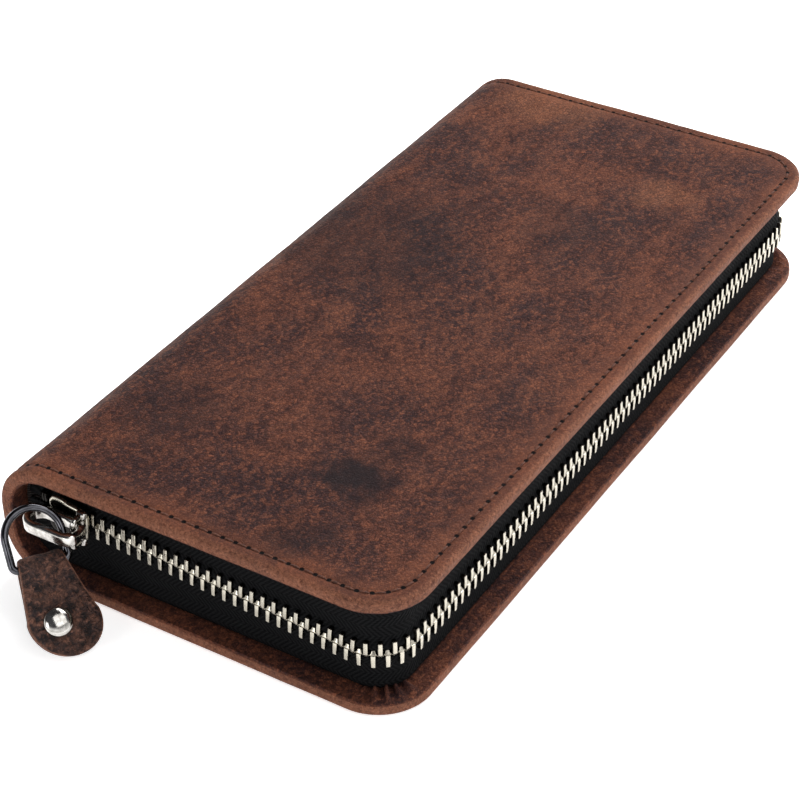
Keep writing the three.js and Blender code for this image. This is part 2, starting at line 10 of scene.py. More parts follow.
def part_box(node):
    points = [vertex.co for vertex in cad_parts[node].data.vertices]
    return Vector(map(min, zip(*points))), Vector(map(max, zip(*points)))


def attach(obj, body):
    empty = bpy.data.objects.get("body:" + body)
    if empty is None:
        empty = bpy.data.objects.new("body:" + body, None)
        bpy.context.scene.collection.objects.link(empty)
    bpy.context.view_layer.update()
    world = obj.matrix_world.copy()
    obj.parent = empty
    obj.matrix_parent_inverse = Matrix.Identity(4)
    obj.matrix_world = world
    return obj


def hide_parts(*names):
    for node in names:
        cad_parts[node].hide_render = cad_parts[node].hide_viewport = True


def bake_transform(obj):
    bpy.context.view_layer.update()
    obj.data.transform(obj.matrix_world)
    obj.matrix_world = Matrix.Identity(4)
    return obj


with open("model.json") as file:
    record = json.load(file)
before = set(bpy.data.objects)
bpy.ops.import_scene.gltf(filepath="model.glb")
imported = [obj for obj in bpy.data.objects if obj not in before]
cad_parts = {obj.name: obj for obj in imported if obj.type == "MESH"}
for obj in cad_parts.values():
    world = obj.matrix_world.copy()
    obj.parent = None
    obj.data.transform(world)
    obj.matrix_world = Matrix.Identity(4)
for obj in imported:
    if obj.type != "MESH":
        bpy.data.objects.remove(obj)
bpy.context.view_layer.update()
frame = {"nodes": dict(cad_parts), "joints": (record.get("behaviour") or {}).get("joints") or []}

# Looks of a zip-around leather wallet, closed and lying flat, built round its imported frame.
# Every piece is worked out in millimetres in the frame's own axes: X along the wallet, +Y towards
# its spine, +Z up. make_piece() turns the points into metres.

MM = 0.001
SEED = 7

# --- sizes read from the frame -----------------------------------------------------------------


def extent(node):
    """A CAD node's lowest and highest corner, in millimetres."""
    low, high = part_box(node)
    return low / MM, high / MM


def middle_and_half(node):
    """A CAD node's middle, and half of its size along each axis, in millimetres."""
    low, high = extent(node)
    return (low + high) / 2, (high - low) / 2


def hinge_point(name):
    """A joint's point, in millimetres."""
    joint = next(j for j in frame["joints"] if j["name"] == name)
    return Vector(joint["pos_m"]) / MM


TOP_LOW, TOP_HIGH = extent("top_cover_leather")
HALF_LENGTH = TOP_HIGH.x
FRONT = TOP_LOW.y
HEIGHT = TOP_HIGH.z
MIDDLE = HEIGHT / 2
SPINE = extent("spine_leather")[1].y
COVER_INSIDE = extent("bottom_cover_lining")[1].z
TAPE_BACK = extent("lower_zip_tape")[1].y
TEETH_LEFT, TEETH_RIGHT = 26.0, 30.0  # the Y where the teeth stop at the left and the right end
LEVELS = {False: "lower", True: "upper"}
COVERS = {False: "bottom_cover", True: "top_cover"}

# --- driving sizes of the looks, in millimetres ------------------------------------------------

CORNER_RADIUS = 12.0
BEND_RADIUS = 12.0
BEND_START = SPINE - BEND_RADIUS
EDGE_BAND = 12.0  # from the edge to where the cover's plain grid begins
TURNED_EDGE = 4.9
OUTER_LEATHER = 1.4
LEATHER_STEP = 1.5
SEAM_INSET = 2.9
SEAM_PITCH = 3.0
NEEDLE_HOLE = 0.55
PLEATS = 24  # folds in a full turn, where the turned edge is gathered round a corner
PLEAT_RISE = 1.7

FLAT_RUN = BEND_START - FRONT
BEND_RUN = BEND_RADIUS * math.pi / 2
HALF_RUN = FLAT_RUN + BEND_RUN + MIDDLE - BEND_RADIUS  # front edge to the middle of the spine

# The seam runs from the spine's middle down one side, round a corner and along half the front.
SEAM_SIDE = HALF_RUN - CORNER_RADIUS
SEAM_RADIUS = CORNER_RADIUS - SEAM_INSET
SEAM_ARC = SEAM_RADIUS * math.pi / 2
SEAM_FRONT = HALF_LENGTH - CORNER_RADIUS
SEAM_LENGTH = 2 * (SEAM_SIDE + SEAM_ARC + SEAM_FRONT)

ZIP_INSET = 4.0
ZIP_X = HALF_LENGTH - ZIP_INSET
ZIP_RADIUS = CORNER_RADIUS - ZIP_INSET
CORNER_Y = FRONT + CORNER_RADIUS
SIDE_RUN = TAPE_BACK - CORNER_Y
CORNER_RUN = ZIP_RADIUS * math.pi / 2
ZIP_RUN = 2 * (SIDE_RUN + CORNER_RUN + ZIP_X - ZIP_RADIUS)
TOOTH_PITCH = 2.54
CHAIN_FRONT_Z = 13.0
CHAIN_SLOPE = math.radians(4.5)
TAPE_FOOT = 1.6  # how far a tape turns inward where it meets its cover

# --- mesh helpers ------------------------------------------------------------------------------


def make_piece(name, points, faces, material, uv=None, sharp_angle=None):
    """An object from points in millimetres. uv gives each point's own flat coordinates."""
    mesh = bpy.data.meshes.new(name)
    points = np.asarray(points, float) * MM
    mesh.from_pydata(points.tolist(), [], [list(map(int, f)) for f in faces])
    rest = mesh.attributes.new("rest_place", "FLOAT_VECTOR", "POINT")
    rest.data.foreach_set("vector", points.astype(np.float32).ravel())
    if uv is not None:
        layer = mesh.uv_layers.new(name="flat")
        corner_points = np.zeros(len(mesh.loops), np.int32)
        mesh.loops.foreach_get("vertex_index", corner_points)
        layer.data.foreach_set("uv", np.asarray(uv, np.float32)[corner_points].ravel())
    piece = bpy.data.objects.new(name, mesh)
    bpy.context.scene.collection.objects.link(piece)
    tidy_mesh(mesh)
    mesh.materials.append(material)
    mesh.polygons.foreach_set("use_smooth", [True] * len(mesh.polygons))
    if sharp_angle is not None:
        mesh.set_sharp_from_angle(angle=math.radians(sharp_angle))
    mesh.update()
    return piece


def tidy_mesh(mesh):
    """Merges points that coincide and turns all faces outward."""
    work = bmesh.new()
    work.from_mesh(mesh)
    bmesh.ops.remove_doubles(work, verts=work.verts, dist=2e-6)
    bmesh.ops.dissolve_degenerate(work, edges=work.edges, dist=1e-6)
    bmesh.ops.recalc_face_normals(work, faces=work.faces)
    work.to_mesh(mesh)
    work.free()


def grid_faces(rows, columns, first=0, closed_rows=False, closed_columns=False):
    """Four-sided faces over points that are numbered row by row."""
    faces = []
    for i in range(rows if closed_rows else rows - 1):
        here, there = first + i * columns, first + (i + 1) % rows * columns
        for j in range(columns if closed_columns else columns - 1):
            k = (j + 1) % columns
            faces.append((here + j, here + k, there + k, there + j))
    return faces


class Shape:
    """Points and faces of one piece, gathered from several sweeps."""

    def __init__(self):
        self.points = []
        self.faces = []
        self.uv = []

    def sweep(self, rings, closed=False, uv=None):
        """Joins rings of points, each one a closed section, into a solid."""
        rings = np.asarray(rings, float)
        count, around = rings.shape[:2]
        first = len(self.points)
        self.points.extend(rings.reshape(-1, 3).tolist())
        self.faces.extend(grid_faces(count, around, first, closed, True))
        if not closed:
            self.faces.append(tuple(range(first, first + around)))
            last = first + (count - 1) * around
            self.faces.append(tuple(range(last, last + around)))
        flat = np.zeros((count * around, 2)) if uv is None else np.asarray(uv, float)
        self.uv.extend(flat.reshape(-1, 2).tolist())
        return self

    def sweep_pairs(self, rings):
        """Sweeps rings in which each entry is a point and its flat coordinates."""
        points = [[point for point, _ in ring] for ring in rings]
        return self.sweep(points, uv=[[flat for _, flat in ring] for ring in rings])

    def piece(self, name, material, **how):
        return make_piece(name, self.points, self.faces, material, uv=self.uv, **how)


def circle(radius, sides):
    """A round section in two axes."""
    angles = np.arange(sides) * 2 * math.pi / sides
    return np.stack([np.cos(angles), np.sin(angles)], 1) * radius


def arc(start, stop, steps, radius=1.0):
    """Points on a circle round zero, from one angle in degrees to another."""
    angles = [math.radians(start + (stop - start) * i / steps) for i in range(steps + 1)]
    return [(radius * math.cos(angle), radius * math.sin(angle)) for angle in angles]


def rounded_box(half_a, half_b, radius, steps=3):
    """A box section with round corners, in two axes."""
    corners = [(1, 1, 0), (-1, 1, 90), (-1, -1, 180), (1, -1, 270)]
    section = []
    for side_a, side_b, start in corners:
        for a, b in arc(start, start + 90, steps, radius):
            section.append((side_a * (half_a - radius) + a, side_b * (half_b - radius) + b))
    return np.array(section)


def placed(section, centre, axis_a, axis_b):
    """A section set into space."""
    section = np.asarray(section)
    place = np.asarray(centre, float)
    return place + np.outer(section[:, 0], axis_a) + np.outer(section[:, 1], axis_b)


def wire_rings(line, radius, sides=12, closed=False):
    """Round sections along a line of points."""
    line = [Vector(p) for p in line]
    count = len(line)
    rings = []
    side = None
    for i, point in enumerate(line):
        before = line[i - 1] if closed or i else point
        after = line[(i + 1) % count] if closed or i < count - 1 else point
        along = (after - before).normalized()
        if side is None:
            side = along.orthogonal().normalized()
        side = (side - along * side.dot(along)).normalized()
        rings.append(placed(circle(radius, sides), point, side, along.cross(side)))
    return rings


def waves(place, size, strength):
    """A soft rise and fall in the surface, the same at every run."""
    return strength * noise.noise(Vector(place) / size + Vector((SEED, SEED, SEED)))


def declare(piece, body, slot, *nodes):
    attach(piece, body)
    if nodes:
        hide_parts(*nodes)


# --- materials ---------------------------------------------------------------------------------


class Nodes:
    """Short ways to build one material's node tree."""

    def __init__(self, name, **sockets):
        self.material = bpy.data.materials.new(name)
        self.material.use_nodes = True
        self.tree = self.material.node_tree
        self.shader = self.tree.nodes["Principled BSDF"]
        for socket, value in sockets.items():
            self.feed(self.shader.inputs[socket.replace("_", " ")], value)

    def feed(self, socket, value):
        """Links the socket where the value is another socket, and sets it where it isn't."""
        if isinstance(value, bpy.types.NodeSocket):
            self.tree.links.new(value, socket)
        else:
            socket.default_value = value

    def add(self, kind, inputs=None, **settings):
        """A new node; the inputs go by name or number."""
        node = self.tree.nodes.new(kind)
        for key, value in settings.items():
            setattr(node, key, value)
        for key, value in (inputs or {}).items():
            self.feed(node.inputs[key], value)
        return node

    def rest_place(self):
        return self.add("ShaderNodeAttribute", attribute_name="rest_place").outputs["Vector"]

    def object_place(self):
        return self.add("ShaderNodeTexCoord").outputs["Object"]

    def flat_vector(self):
        return self.add("ShaderNodeUVMap", uv_map="flat").outputs["UV"]

    def flat_place(self):
        """Along and across, as two numbers in millimetres."""
        split = self.add("ShaderNodeSeparateXYZ", {0: self.flat_vector()})
        return split.outputs["X"], split.outputs["Y"]

    def stretched(self, place, scale, turn=0.0, shift_mm=0.0):
        inputs = {"Vector": place, "Scale": scale, "Rotation": (0, 0, math.radians(turn))}
        inputs["Location"] = (shift_mm * MM,) * 3
        return self.add("ShaderNodeMapping", inputs).outputs["Vector"]

    def noise(self, place, size_mm, detail=4.0, roughness=0.55, distortion=0.0, output="Fac"):
        inputs = {"Vector": place, "Scale": 1 / (size_mm * MM), "Detail": detail}
        inputs |= {"Roughness": roughness, "Distortion": distortion}
        return self.add("ShaderNodeTexNoise", inputs).outputs[output]

    def cells(self, place, size_mm, feature="F1", output="Distance"):
        inputs = {"Vector": place, "Scale": 1 / (size_mm * MM)}
        return self.add("ShaderNodeTexVoronoi", inputs, feature=feature).outputs[output]

    def cell_tones(self, place, size_mm):
        """A number from 0 to 1 for each cell of the same pattern as cells()."""
        colour = self.cells(place, size_mm, output="Color")
        return self.add("ShaderNodeSeparateXYZ", {0: colour}).outputs["X"]

    def math(self, operation, *values):
        inputs = dict(enumerate(values))
        return self.add("ShaderNodeMath", inputs, operation=operation).outputs[0]

    def between(self, value, low, high, to_low=0.0, to_high=1.0):
        """Maps low..high to to_low..to_high, smoothly and held at the ends."""
        inputs = {"Value": value, "From Min": low, "From Max": high}
        inputs |= {"To Min": to_low, "To Max": to_high}
        node = self.add("ShaderNodeMapRange", inputs, interpolation_type="SMOOTHSTEP")
        return node.outputs["Result"]

    def mix(self, share, first, second):
        """Colours mixed by share, each a colour or a socket."""
        inputs = {0: share, 6: first, 7: second}
        return self.add("ShaderNodeMix", inputs, data_type="RGBA").outputs[2]

    def ramp(self, value, low, high, first, second):
        """A colour that runs from first to second as the value goes from low to high."""
        return self.mix(self.between(value, low, high), first, second)

    def tint(self, base, value, low, high, share, colour):
        """Mixes a colour in where the value nears high, up to the share."""
        return self.mix(self.between(value, low, high, 0, share), base, colour)

    def colour(self, value):
        self.feed(self.shader.inputs["Base Color"], value)

    def roughness(self, value, low, high, to_low, to_high):
        """Roughness that follows a value, mapped as in between()."""
        rough = self.between(value, low, high, to_low, to_high)
        self.feed(self.shader.inputs["Roughness"], rough)

    def bump(self, *layers):
        """Bumps on bumps: each layer is a height and its depth in millimetres."""
        inputs = {"Strength": 1.0}
        for height, depth in layers:
            inputs |= {"Height": height, "Distance": depth * MM}
            inputs["Normal"] = self.add("ShaderNodeBump", inputs).outputs["Normal"]
        self.feed(self.shader.inputs["Normal"], inputs["Normal"])


def rgb(*screen):
    """A colour given as three screen values from 0 to 255."""
    shares = [value / 255 for value in screen]
    return (*(s / 12.92 if s <= 0.04045 else ((s + 0.055) / 1.055) ** 2.4 for s in shares), 1.0)


def bent(look, place, wobble_mm, reach_mm):
    """The place, pushed about by noise, so that patterns lose their regular shapes."""
    wobble = look.noise(place, wobble_mm, 1.0, 0.5, output="Color")
    inputs = {0: wobble, 1: (reach_mm * MM,) * 3, 2: place}
    return look.add("ShaderNodeVectorMath", inputs, operation="MULTIPLY_ADD").outputs[0]


def leather_grain(look, place, size):
    """Pebbled grain with creases between the pebbles, and each pebble's own tone, from 0 to 1."""
    loose = bent(look, place, 1.4, 0.9)
    pebbles = look.cells(loose, size, "DISTANCE_TO_EDGE")
    wrinkles = look.noise(place, size * 0.8, 3, 0.6, 0.2)
    ridges = look.math("ABSOLUTE", look.math("SUBTRACT", wrinkles, 0.5))
    round_tops = look.between(pebbles, 0.0, 0.25, 0.35, 1.0)
    grain = look.math("MULTIPLY", round_tops, look.between(ridges, 0.0, 0.1, 0.15, 1.0))
    return grain, look.cell_tones(loose, size)


CLOUD_SHIFT = 240.0  # millimetres; slides the clouds until the cover is lighter at its far right, a painted light towards the key lamp
PATCH_WOBBLE = 7.0
PATCH_DRIFT = 13.0  # how far noise pushes the patches' outlines about

# The marks on the top cover that stand out: X and Y of the middle and size in millimetres, and how
# dark, where below 0 is lighter.
PATCHES = [
    (-64, -19, 10, 1.0),
    (-52, -21, 6, 0.6),
    (-84, -20, 8, 0.6),
    (-64, 26, 13, 0.4),
    (12, 25, 27, 0.5),
    (38, -8, 13, 0.35),
    (62, -22, 9, -0.6),
    (92, 20, 18, -0.7),
]


def rubbed_patches(look, place):
    """How dark the patches make the leather, from 0 to 1, and how light."""
    loose = bent(look, place, PATCH_WOBBLE, PATCH_DRIFT)
    half_drift = PATCH_DRIFT / 2
    dark, light = 0.0, 0.0
    for x, y, size, strength in PATCHES:
        middle = Vector((x + half_drift, y + half_drift, HEIGHT + half_drift)) * MM
        away = look.add("ShaderNodeVectorMath", {0: loose, 1: middle}, operation="DISTANCE")
        reach, core = size * 1.1 * MM, size * 0.45 * MM
        share = look.between(away.outputs["Value"], reach, core, 0, abs(strength))
        if strength > 0:
            dark = look.math("MAXIMUM", dark, share)
        else:
            light = look.math("MAXIMUM", light, share)
    return dark, light


def outer_leather():
    """Vintage pull-up leather: clouds of darker brown, slid so the far right is lighter as painted
    light, rubbed lighter along its edges and seam, and a pale line on the rolled edge that is
    painted highlight with edge wear.
    """
    look = Nodes("outer_leather", Specular_IOR_Level=0.07)
    place = look.rest_place()
    along, inset = look.flat_place()
    # The shifted clouds paint light: the cover's far right is made lighter.
    clouds = look.noise(look.stretched(place, (0.8, 1.1, 1.0), 35, CLOUD_SHIFT), 24, 5, 0.62, 0.8)
    smudges = look.noise(look.stretched(place, (0.7, 1.3, 1.0), 35, CLOUD_SHIFT), 7, 5, 0.65, 0.8)
    specks = look.noise(place, 0.7, 3, 0.8)
    flecks = look.noise(place, 1.8, 3, 0.75)
    grain, tones = leather_grain(look, place, 0.95)
    dark, light = rubbed_patches(look, place)
    base = look.ramp(clouds, 0.38, 0.62, rgb(58, 39, 39), rgb(104, 62, 47))
    base = look.tint(base, smudges, 0.5, 0.68, 0.6, rgb(46, 32, 34))
    base = look.tint(base, smudges, 0.46, 0.3, 0.5, rgb(128, 76, 53))
    base = look.tint(base, flecks, 0.5, 0.7, 0.36, rgb(120, 70, 50))
    base = look.tint(base, flecks, 0.48, 0.32, 0.4, rgb(46, 31, 33))
    rim = look.between(inset, SEAM_INSET + 6, SEAM_INSET - 0.5)
    plain = look.between(rim, 0.0, 1.0, 1.0, 0.6)
    pale_pebbles = look.math("MULTIPLY", look.between(tones, 0.5, 1.0, 0, 0.5), plain)
    dark_pebbles = look.math("MULTIPLY", look.between(tones, 0.5, 0.0, 0, 0.5), plain)
    base = look.mix(pale_pebbles, base, rgb(126, 75, 54))
    base = look.mix(dark_pebbles, base, rgb(42, 26, 27))
    base = look.mix(look.math("MULTIPLY", light, 0.55), base, rgb(148, 96, 68))
    base = look.tint(base, specks, 0.52, 0.7, 0.5, rgb(144, 88, 64))
    base = look.tint(base, specks, 0.48, 0.32, 0.5, rgb(31, 20, 21))
    base = look.mix(look.math("MULTIPLY", dark, 0.9), base, rgb(34, 27, 30))
    base = look.mix(look.math("MULTIPLY", rim, 0.32), base, rgb(128, 78, 56))
    # A pale speckled line on the rolled edge: painted highlight, with edge wear.
    edge_wear_and_highlight = look.math("MULTIPLY", look.between(inset, 1.4, 0.2), look.between(specks, 0.3, 0.6))
    base = look.mix(look.math("MULTIPLY", edge_wear_and_highlight, 0.45), base, rgb(158, 108, 84))
    crease = look.math("MULTIPLY", look.between(grain, 0.0, 0.7, 0.6, 0.0), plain)
    base = look.mix(crease, base, rgb(20, 14, 16))
    look.colour(look.mix(needle_holes(look, along, inset), base, rgb(9, 6, 6)))
    look.roughness(smudges, 0.3, 0.7, 0.55, 0.72)
    folds = look.noise(place, 5, 4, 0.6)
    look.bump((folds, 0.1), (grain, 0.12), (specks, 0.06))
    return look.material


def needle_holes(look, along, inset):
    """Dark dots, one at each end of a stitch, on the seam line."""
    step = look.math("MULTIPLY", look.math("PINGPONG", along, SEAM_PITCH / 2), 0.8)
    across = look.math("ABSOLUTE", look.math("SUBTRACT", inset, SEAM_INSET))
    squares = [look.math("POWER", value, 2.0) for value in (step, across)]
    away = look.math("SQRT", look.math("ADD", *squares))
    return look.between(away, NEEDLE_HOLE, NEEDLE_HOLE * 0.7)


def tab_leather():
    """The tab's leather: darker and more crumpled than the covers, with raw lighter edges."""
    look = Nodes("tab_leather", Specular_IOR_Level=0.2)
    place = look.rest_place()
    patches = look.noise(place, 4.0, 5, 0.7, 0.9)
    pits = look.noise(look.stretched(place, (1.0, 1.0, 1.5)), 1.6, 3, 0.6, 0.4)
    grain, tones = leather_grain(look, place, 1.5)
    specks = look.noise(place, 0.6, 4, 0.75)
    base = look.ramp(patches, 0.36, 0.64, rgb(46, 33, 33), rgb(82, 55, 46))
    base = look.tint(base, pits, 0.5, 0.66, 0.8, rgb(128, 88, 72))
    base = look.tint(base, pits, 0.48, 0.38, 0.85, rgb(16, 12, 13))
    base = look.tint(base, tones, 0.6, 1.0, 0.5, rgb(112, 74, 58))
    base = look.tint(base, specks, 0.5, 0.7, 0.45, rgb(120, 80, 64))
    base = look.tint(base, specks, 0.48, 0.3, 0.45, rgb(26, 19, 20))
    base = look.tint(base, grain, 0.8, 0.0, 0.6, rgb(18, 13, 14))
    across = look.flat_place()[1]
    ragged = look.between(specks, 0.3, 0.6, 0.3, 0.5)
    raw = look.math("MULTIPLY", look.between(across, 0.93, 1.0), ragged)
    look.colour(look.mix(raw, base, rgb(148, 98, 74)))
    look.roughness(patches, 0.3, 0.7, 0.48, 0.65)
    look.bump((patches, 0.5), (pits, 0.7), (grain, 0.3), (specks, 0.06))
    return look.material


def pocket_leather():
    """Smooth lining leather of the card slots, with a creased line along each edge."""
    look = Nodes("pocket_leather", Specular_IOR_Level=0.4)
    place = look.rest_place()
    clouds = look.noise(place, 9, 6, 0.7)
    pores = look.cells(place, 0.8)
    base = look.ramp(clouds, 0.3, 0.7, rgb(80, 52, 42), rgb(92, 60, 47))
    look.colour(look.tint(base, pores, 0.6, 0.1, 0.3, rgb(44, 29, 24)))
    look.roughness(clouds, 0.3, 0.7, 0.42, 0.6)
    look.bump((pores, 0.04), (clouds, 0.1))
    return look.material


def threads(look, place, pitch, turn):
    """Ridges of parallel threads, pitch apart in millimetres."""
    inputs = {"Vector": look.stretched(place, (1, 1, 1), turn), "Distortion": 0.25}
    inputs["Scale"] = math.pi / (10 * pitch)
    node = look.add("ShaderNodeTexWave", inputs, wave_type="BANDS", bands_direction="X")
    return node.outputs["Fac"]


def lining_cloth():
    """Dark brown twill: diagonal ribs over fine cross threads."""
    look = Nodes("lining_cloth", Sheen_Weight=0.1, Specular_IOR_Level=0.2)
    place = look.flat_vector()
    ribs = threads(look, place, 0.6, 55)
    cross = threads(look, place, 0.35, -35)
    slubs = look.noise(look.rest_place(), 3, 4)
    weave = look.math("MULTIPLY", ribs, look.between(cross, 0, 1, 0.6, 1.0))
    base = look.ramp(weave, 0.1, 0.9, rgb(26, 19, 17), rgb(58, 44, 38))
    look.colour(look.tint(base, slubs, 0.4, 0.7, 0.4, rgb(70, 54, 46)))
    look.roughness(weave, 0, 1, 0.95, 0.75)
    look.bump((weave, 0.12))
    return look.material


def zip_tape():
    """Black woven tape, with the herringbone that its warp makes."""
    look = Nodes("zip_tape", Specular_IOR_Level=0.06)
    along, across = look.flat_place()
    column = look.math("PINGPONG", across, 2.2)
    slant = look.math("ADD", along, column)
    chevrons = look.math("PINGPONG", slant, 0.55)
    warp = look.math("PINGPONG", across, 0.28)
    height = look.math("ADD", look.math("MULTIPLY", chevrons, 1.3), warp)
    fluff = look.noise(look.rest_place(), 0.8, 4)
    base = look.ramp(height, 0.1, 0.9, rgb(1, 1, 2), rgb(19, 19, 20))
    look.colour(look.tint(base, fluff, 0.5, 0.75, 0.35, rgb(30, 32, 32)))
    look.roughness(fluff, 0.3, 0.7, 0.75, 0.95)
    look.bump((height, 0.16), (fluff, 0.04))
    return look.material


def polished_metal(name, bright, dim, roughness):
    """Cast and polished metal: faint tarnish, soft dents and fine scratches."""
    look = Nodes(name, Metallic=1.0)
    place = look.rest_place()
    tarnish = look.noise(place, 2.2, 5, 0.6)
    scratches = look.noise(look.stretched(place, (1.0, 9.0, 2.0), 30), 1.4, 6, 0.75)
    base = look.ramp(tarnish, 0.35, 0.7, bright, dim)
    look.colour(look.mix(look.between(scratches, 0.58, 0.8, 0, 0.3), base, dim))
    look.roughness(scratches, 0.3, 0.75, roughness, roughness + 0.14)
    look.bump((scratches, 0.003), (tarnish, 0.012))
    return look.material


def nickel_with_painted_light():
    """Nickel with painted light: a painted highlight, bright, where the flat map's second number is
    near 1, and painted shade, dull and dark, everywhere else.
    """
    look = Nodes("nickel_painted_highlight_and_shade", Metallic=1.0)
    high = look.math("ABSOLUTE", look.flat_place()[1])
    tarnish = look.noise(look.rest_place(), 0.9, 4, 0.7)
    # edge is the share of painted highlight; where it is low the colour is painted shade.
    edge = look.between(look.math("ADD", high, look.math("MULTIPLY", tarnish, 0.2)), 0.86, 1.04)
    look.colour(look.mix(edge, rgb(38, 36, 34), rgb(188, 182, 168)))
    look.roughness(tarnish, 0.3, 0.7, 0.2, 0.34)
    look.bump((tarnish, 0.02))
    return look.material


def coil_nylon():
    look = Nodes("coil_nylon", Specular_IOR_Level=0.5)
    streaks = look.noise(look.stretched(look.rest_place(), (1, 4, 4)), 0.9, 4)
    look.colour(look.ramp(streaks, 0.3, 0.7, rgb(24, 19, 18), rgb(46, 37, 33)))
    look.roughness(streaks, 0.3, 0.7, 0.35, 0.5)
    look.bump((streaks, 0.03))
    return look.material


def stiffener_board():
    look = Nodes("stiffener_board", Roughness=0.95)
    place = look.object_place()
    fibres = look.noise(look.stretched(place, (1, 5, 1)), 2.5, 6, 0.7)
    flecks = look.cells(place, 1.8)
    base = look.ramp(fibres, 0.3, 0.7, rgb(120, 104, 82), rgb(158, 140, 112))
    look.colour(look.tint(base, flecks, 0.3, 0.05, 0.5, rgb(84, 72, 58)))
    look.bump((fibres, 0.08))
    return look.material


def seam_thread():
    """Waxed brown thread, two strands twisted."""
    look = Nodes("seam_thread", Specular_IOR_Level=0.2)
    place = look.rest_place()
    strands = look.noise(look.stretched(place, (1, 1, 1), 40), 0.35, 3)
    look.colour(look.ramp(strands, 0.35, 0.65, rgb(62, 38, 31), rgb(104, 66, 52)))
    look.roughness(strands, 0.3, 0.7, 0.55, 0.75)
    look.bump((strands, 0.08))
    return look.material


def paper_floor():
    """Plain white paper with the faintest tooth."""
    look = Nodes("paper_floor", Roughness=0.9, Specular_IOR_Level=0.1, Emission_Strength=0.62)
    look.shader.inputs["Emission Color"].default_value = (1, 1, 1, 1)
    tooth = look.noise(look.object_place(), 1.5, 3)
    look.colour(look.ramp(tooth, 0.3, 0.7, rgb(250, 250, 250), rgb(253, 253, 253)))
    look.bump((tooth, 0.01))
    return look.material


LEATHER = outer_leather()
TAB = tab_leather()
POCKET = pocket_leather()
LINING = lining_cloth()
TAPE = zip_tape()
POLISHED = polished_metal("polished_nickel", rgb(214, 211, 206), rgb(150, 146, 140), 0.08)
# Nickel whose colour holds a painted highlight and painted shade.
PAINTED_LIGHT_NICKEL = nickel_with_painted_light()
DARK_CHROME = polished_metal("dark_chrome", rgb(84, 84, 88), rgb(60, 60, 64), 0.05)
NYLON = coil_nylon()
BOARD = stiffener_board()
THREAD = seam_thread()

# --- covers and spine --------------------------------------------------------------------------
# Each half of the outer leather is drawn flat first: x along the wallet, run from the front edge
# towards the spine, depth inward from the outside. folded() then lays it over cover and spine.


def folded(x, run, depth, above):
    """A point of one half's leather, above or below the middle of the spine."""
    if run <= FLAT_RUN:
        y, z = FRONT + run, depth
    elif run <= FLAT_RUN + BEND_RUN:
        turn = (run - FLAT_RUN) / BEND_RADIUS
        y = BEND_START + (BEND_RADIUS - depth) * math.sin(turn)
        z = BEND_RADIUS - (BEND_RADIUS - depth) * math.cos(turn)
    else:
        y, z = SPINE - depth, BEND_RADIUS + run - FLAT_RUN - BEND_RUN
    return (x, y, HEIGHT - z if above else z)


def edge_line(inset):
    """One half's outline at an inset: each point's x, run and length along the seam."""
    half = HALF_LENGTH - inset
    radius = CORNER_RADIUS - inset
    side_steps = round(SEAM_SIDE / LEATHER_STEP)
    corner_steps = 40
    front_steps = round(SEAM_FRONT / LEATHER_STEP)
    line = []
    for i in range(side_steps):
        done = SEAM_SIDE * i / side_steps
        line.append((-half, HALF_RUN - done, done))
    for i in range(corner_steps + 1):
        angle = math.pi / 2 * i / corner_steps
        x = -half + radius * (1 - math.cos(angle))
        run = CORNER_RADIUS - radius * math.sin(angle)
        line.append((x, run, SEAM_SIDE + SEAM_ARC * i / corner_steps))
    for i in range(1, front_steps + 1):
        done = SEAM_FRONT * i / front_steps
        line.append((done - SEAM_FRONT, inset, SEAM_SIDE + SEAM_ARC + done))
    return line + [(-x, run, SEAM_LENGTH - done) for x, run, done in reversed(line[:-1])]


def edge_profile():
    """Inset and depth round the edge, from the outside, over the rim, to the inside."""
    profile = [(EDGE_BAND, 0.0), (9.0, 0.0), (6.5, 0.0), (4.8, 0.0), (4.0, 0.03)]
    profile += [(SEAM_INSET + 0.5, 0.12), (SEAM_INSET, 0.3), (SEAM_INSET - 0.5, 0.14)]
    profile += [(1.7, 0.02), (1.1, 0.06)]
    profile += [(1 - b, 1.06 - a) for a, b in arc(0, 90, 5)[1:]]
    profile += [(0.0, 1.6), (0.06, 2.2), (0.1, 2.6), (0.4, COVER_INSIDE), (1.6, COVER_INSIDE + 0.1)]
    profile += [(2.6, COVER_INSIDE + 0.12), (3.8, COVER_INSIDE + 0.1)]
    profile += [(TURNED_EDGE, COVER_INSIDE), (TURNED_EDGE + 0.05, OUTER_LEATHER)]
    profile += [(8.0, OUTER_LEATHER), (EDGE_BAND, OUTER_LEATHER)]
    return profile


def leather_depth(x, run, depth, inset):
    """Adds the leather's soft unevenness, which fades out at the middle of the spine."""
    fade = min(1.0, (HALF_RUN - run) / 3.0)
    lumps = waves((x, run, depth), 22, 0.16) + waves((x, run, depth + 9), 5, 0.05)
    depth += fade * (0.1 + lumps) * (1.0 if depth < OUTER_LEATHER else 0.4)
    corner_x = abs(x) - (HALF_LENGTH - CORNER_RADIUS)
    corner_run = CORNER_RADIUS - run
    if depth > 2.0 and inset < TURNED_EDGE + 0.02 and corner_x > 0 and corner_run > 0:
        angle = math.atan2(corner_x, corner_run)
        fold = math.sin(PLEATS * angle + waves((x, run, 9), 4, 2.5))
        pleat = max(0.0, fold) * math.sin(2 * angle)
        depth += PLEAT_RISE * pleat * max(0.0, min(1.0, (inset - 1.0) / 2))
    return depth


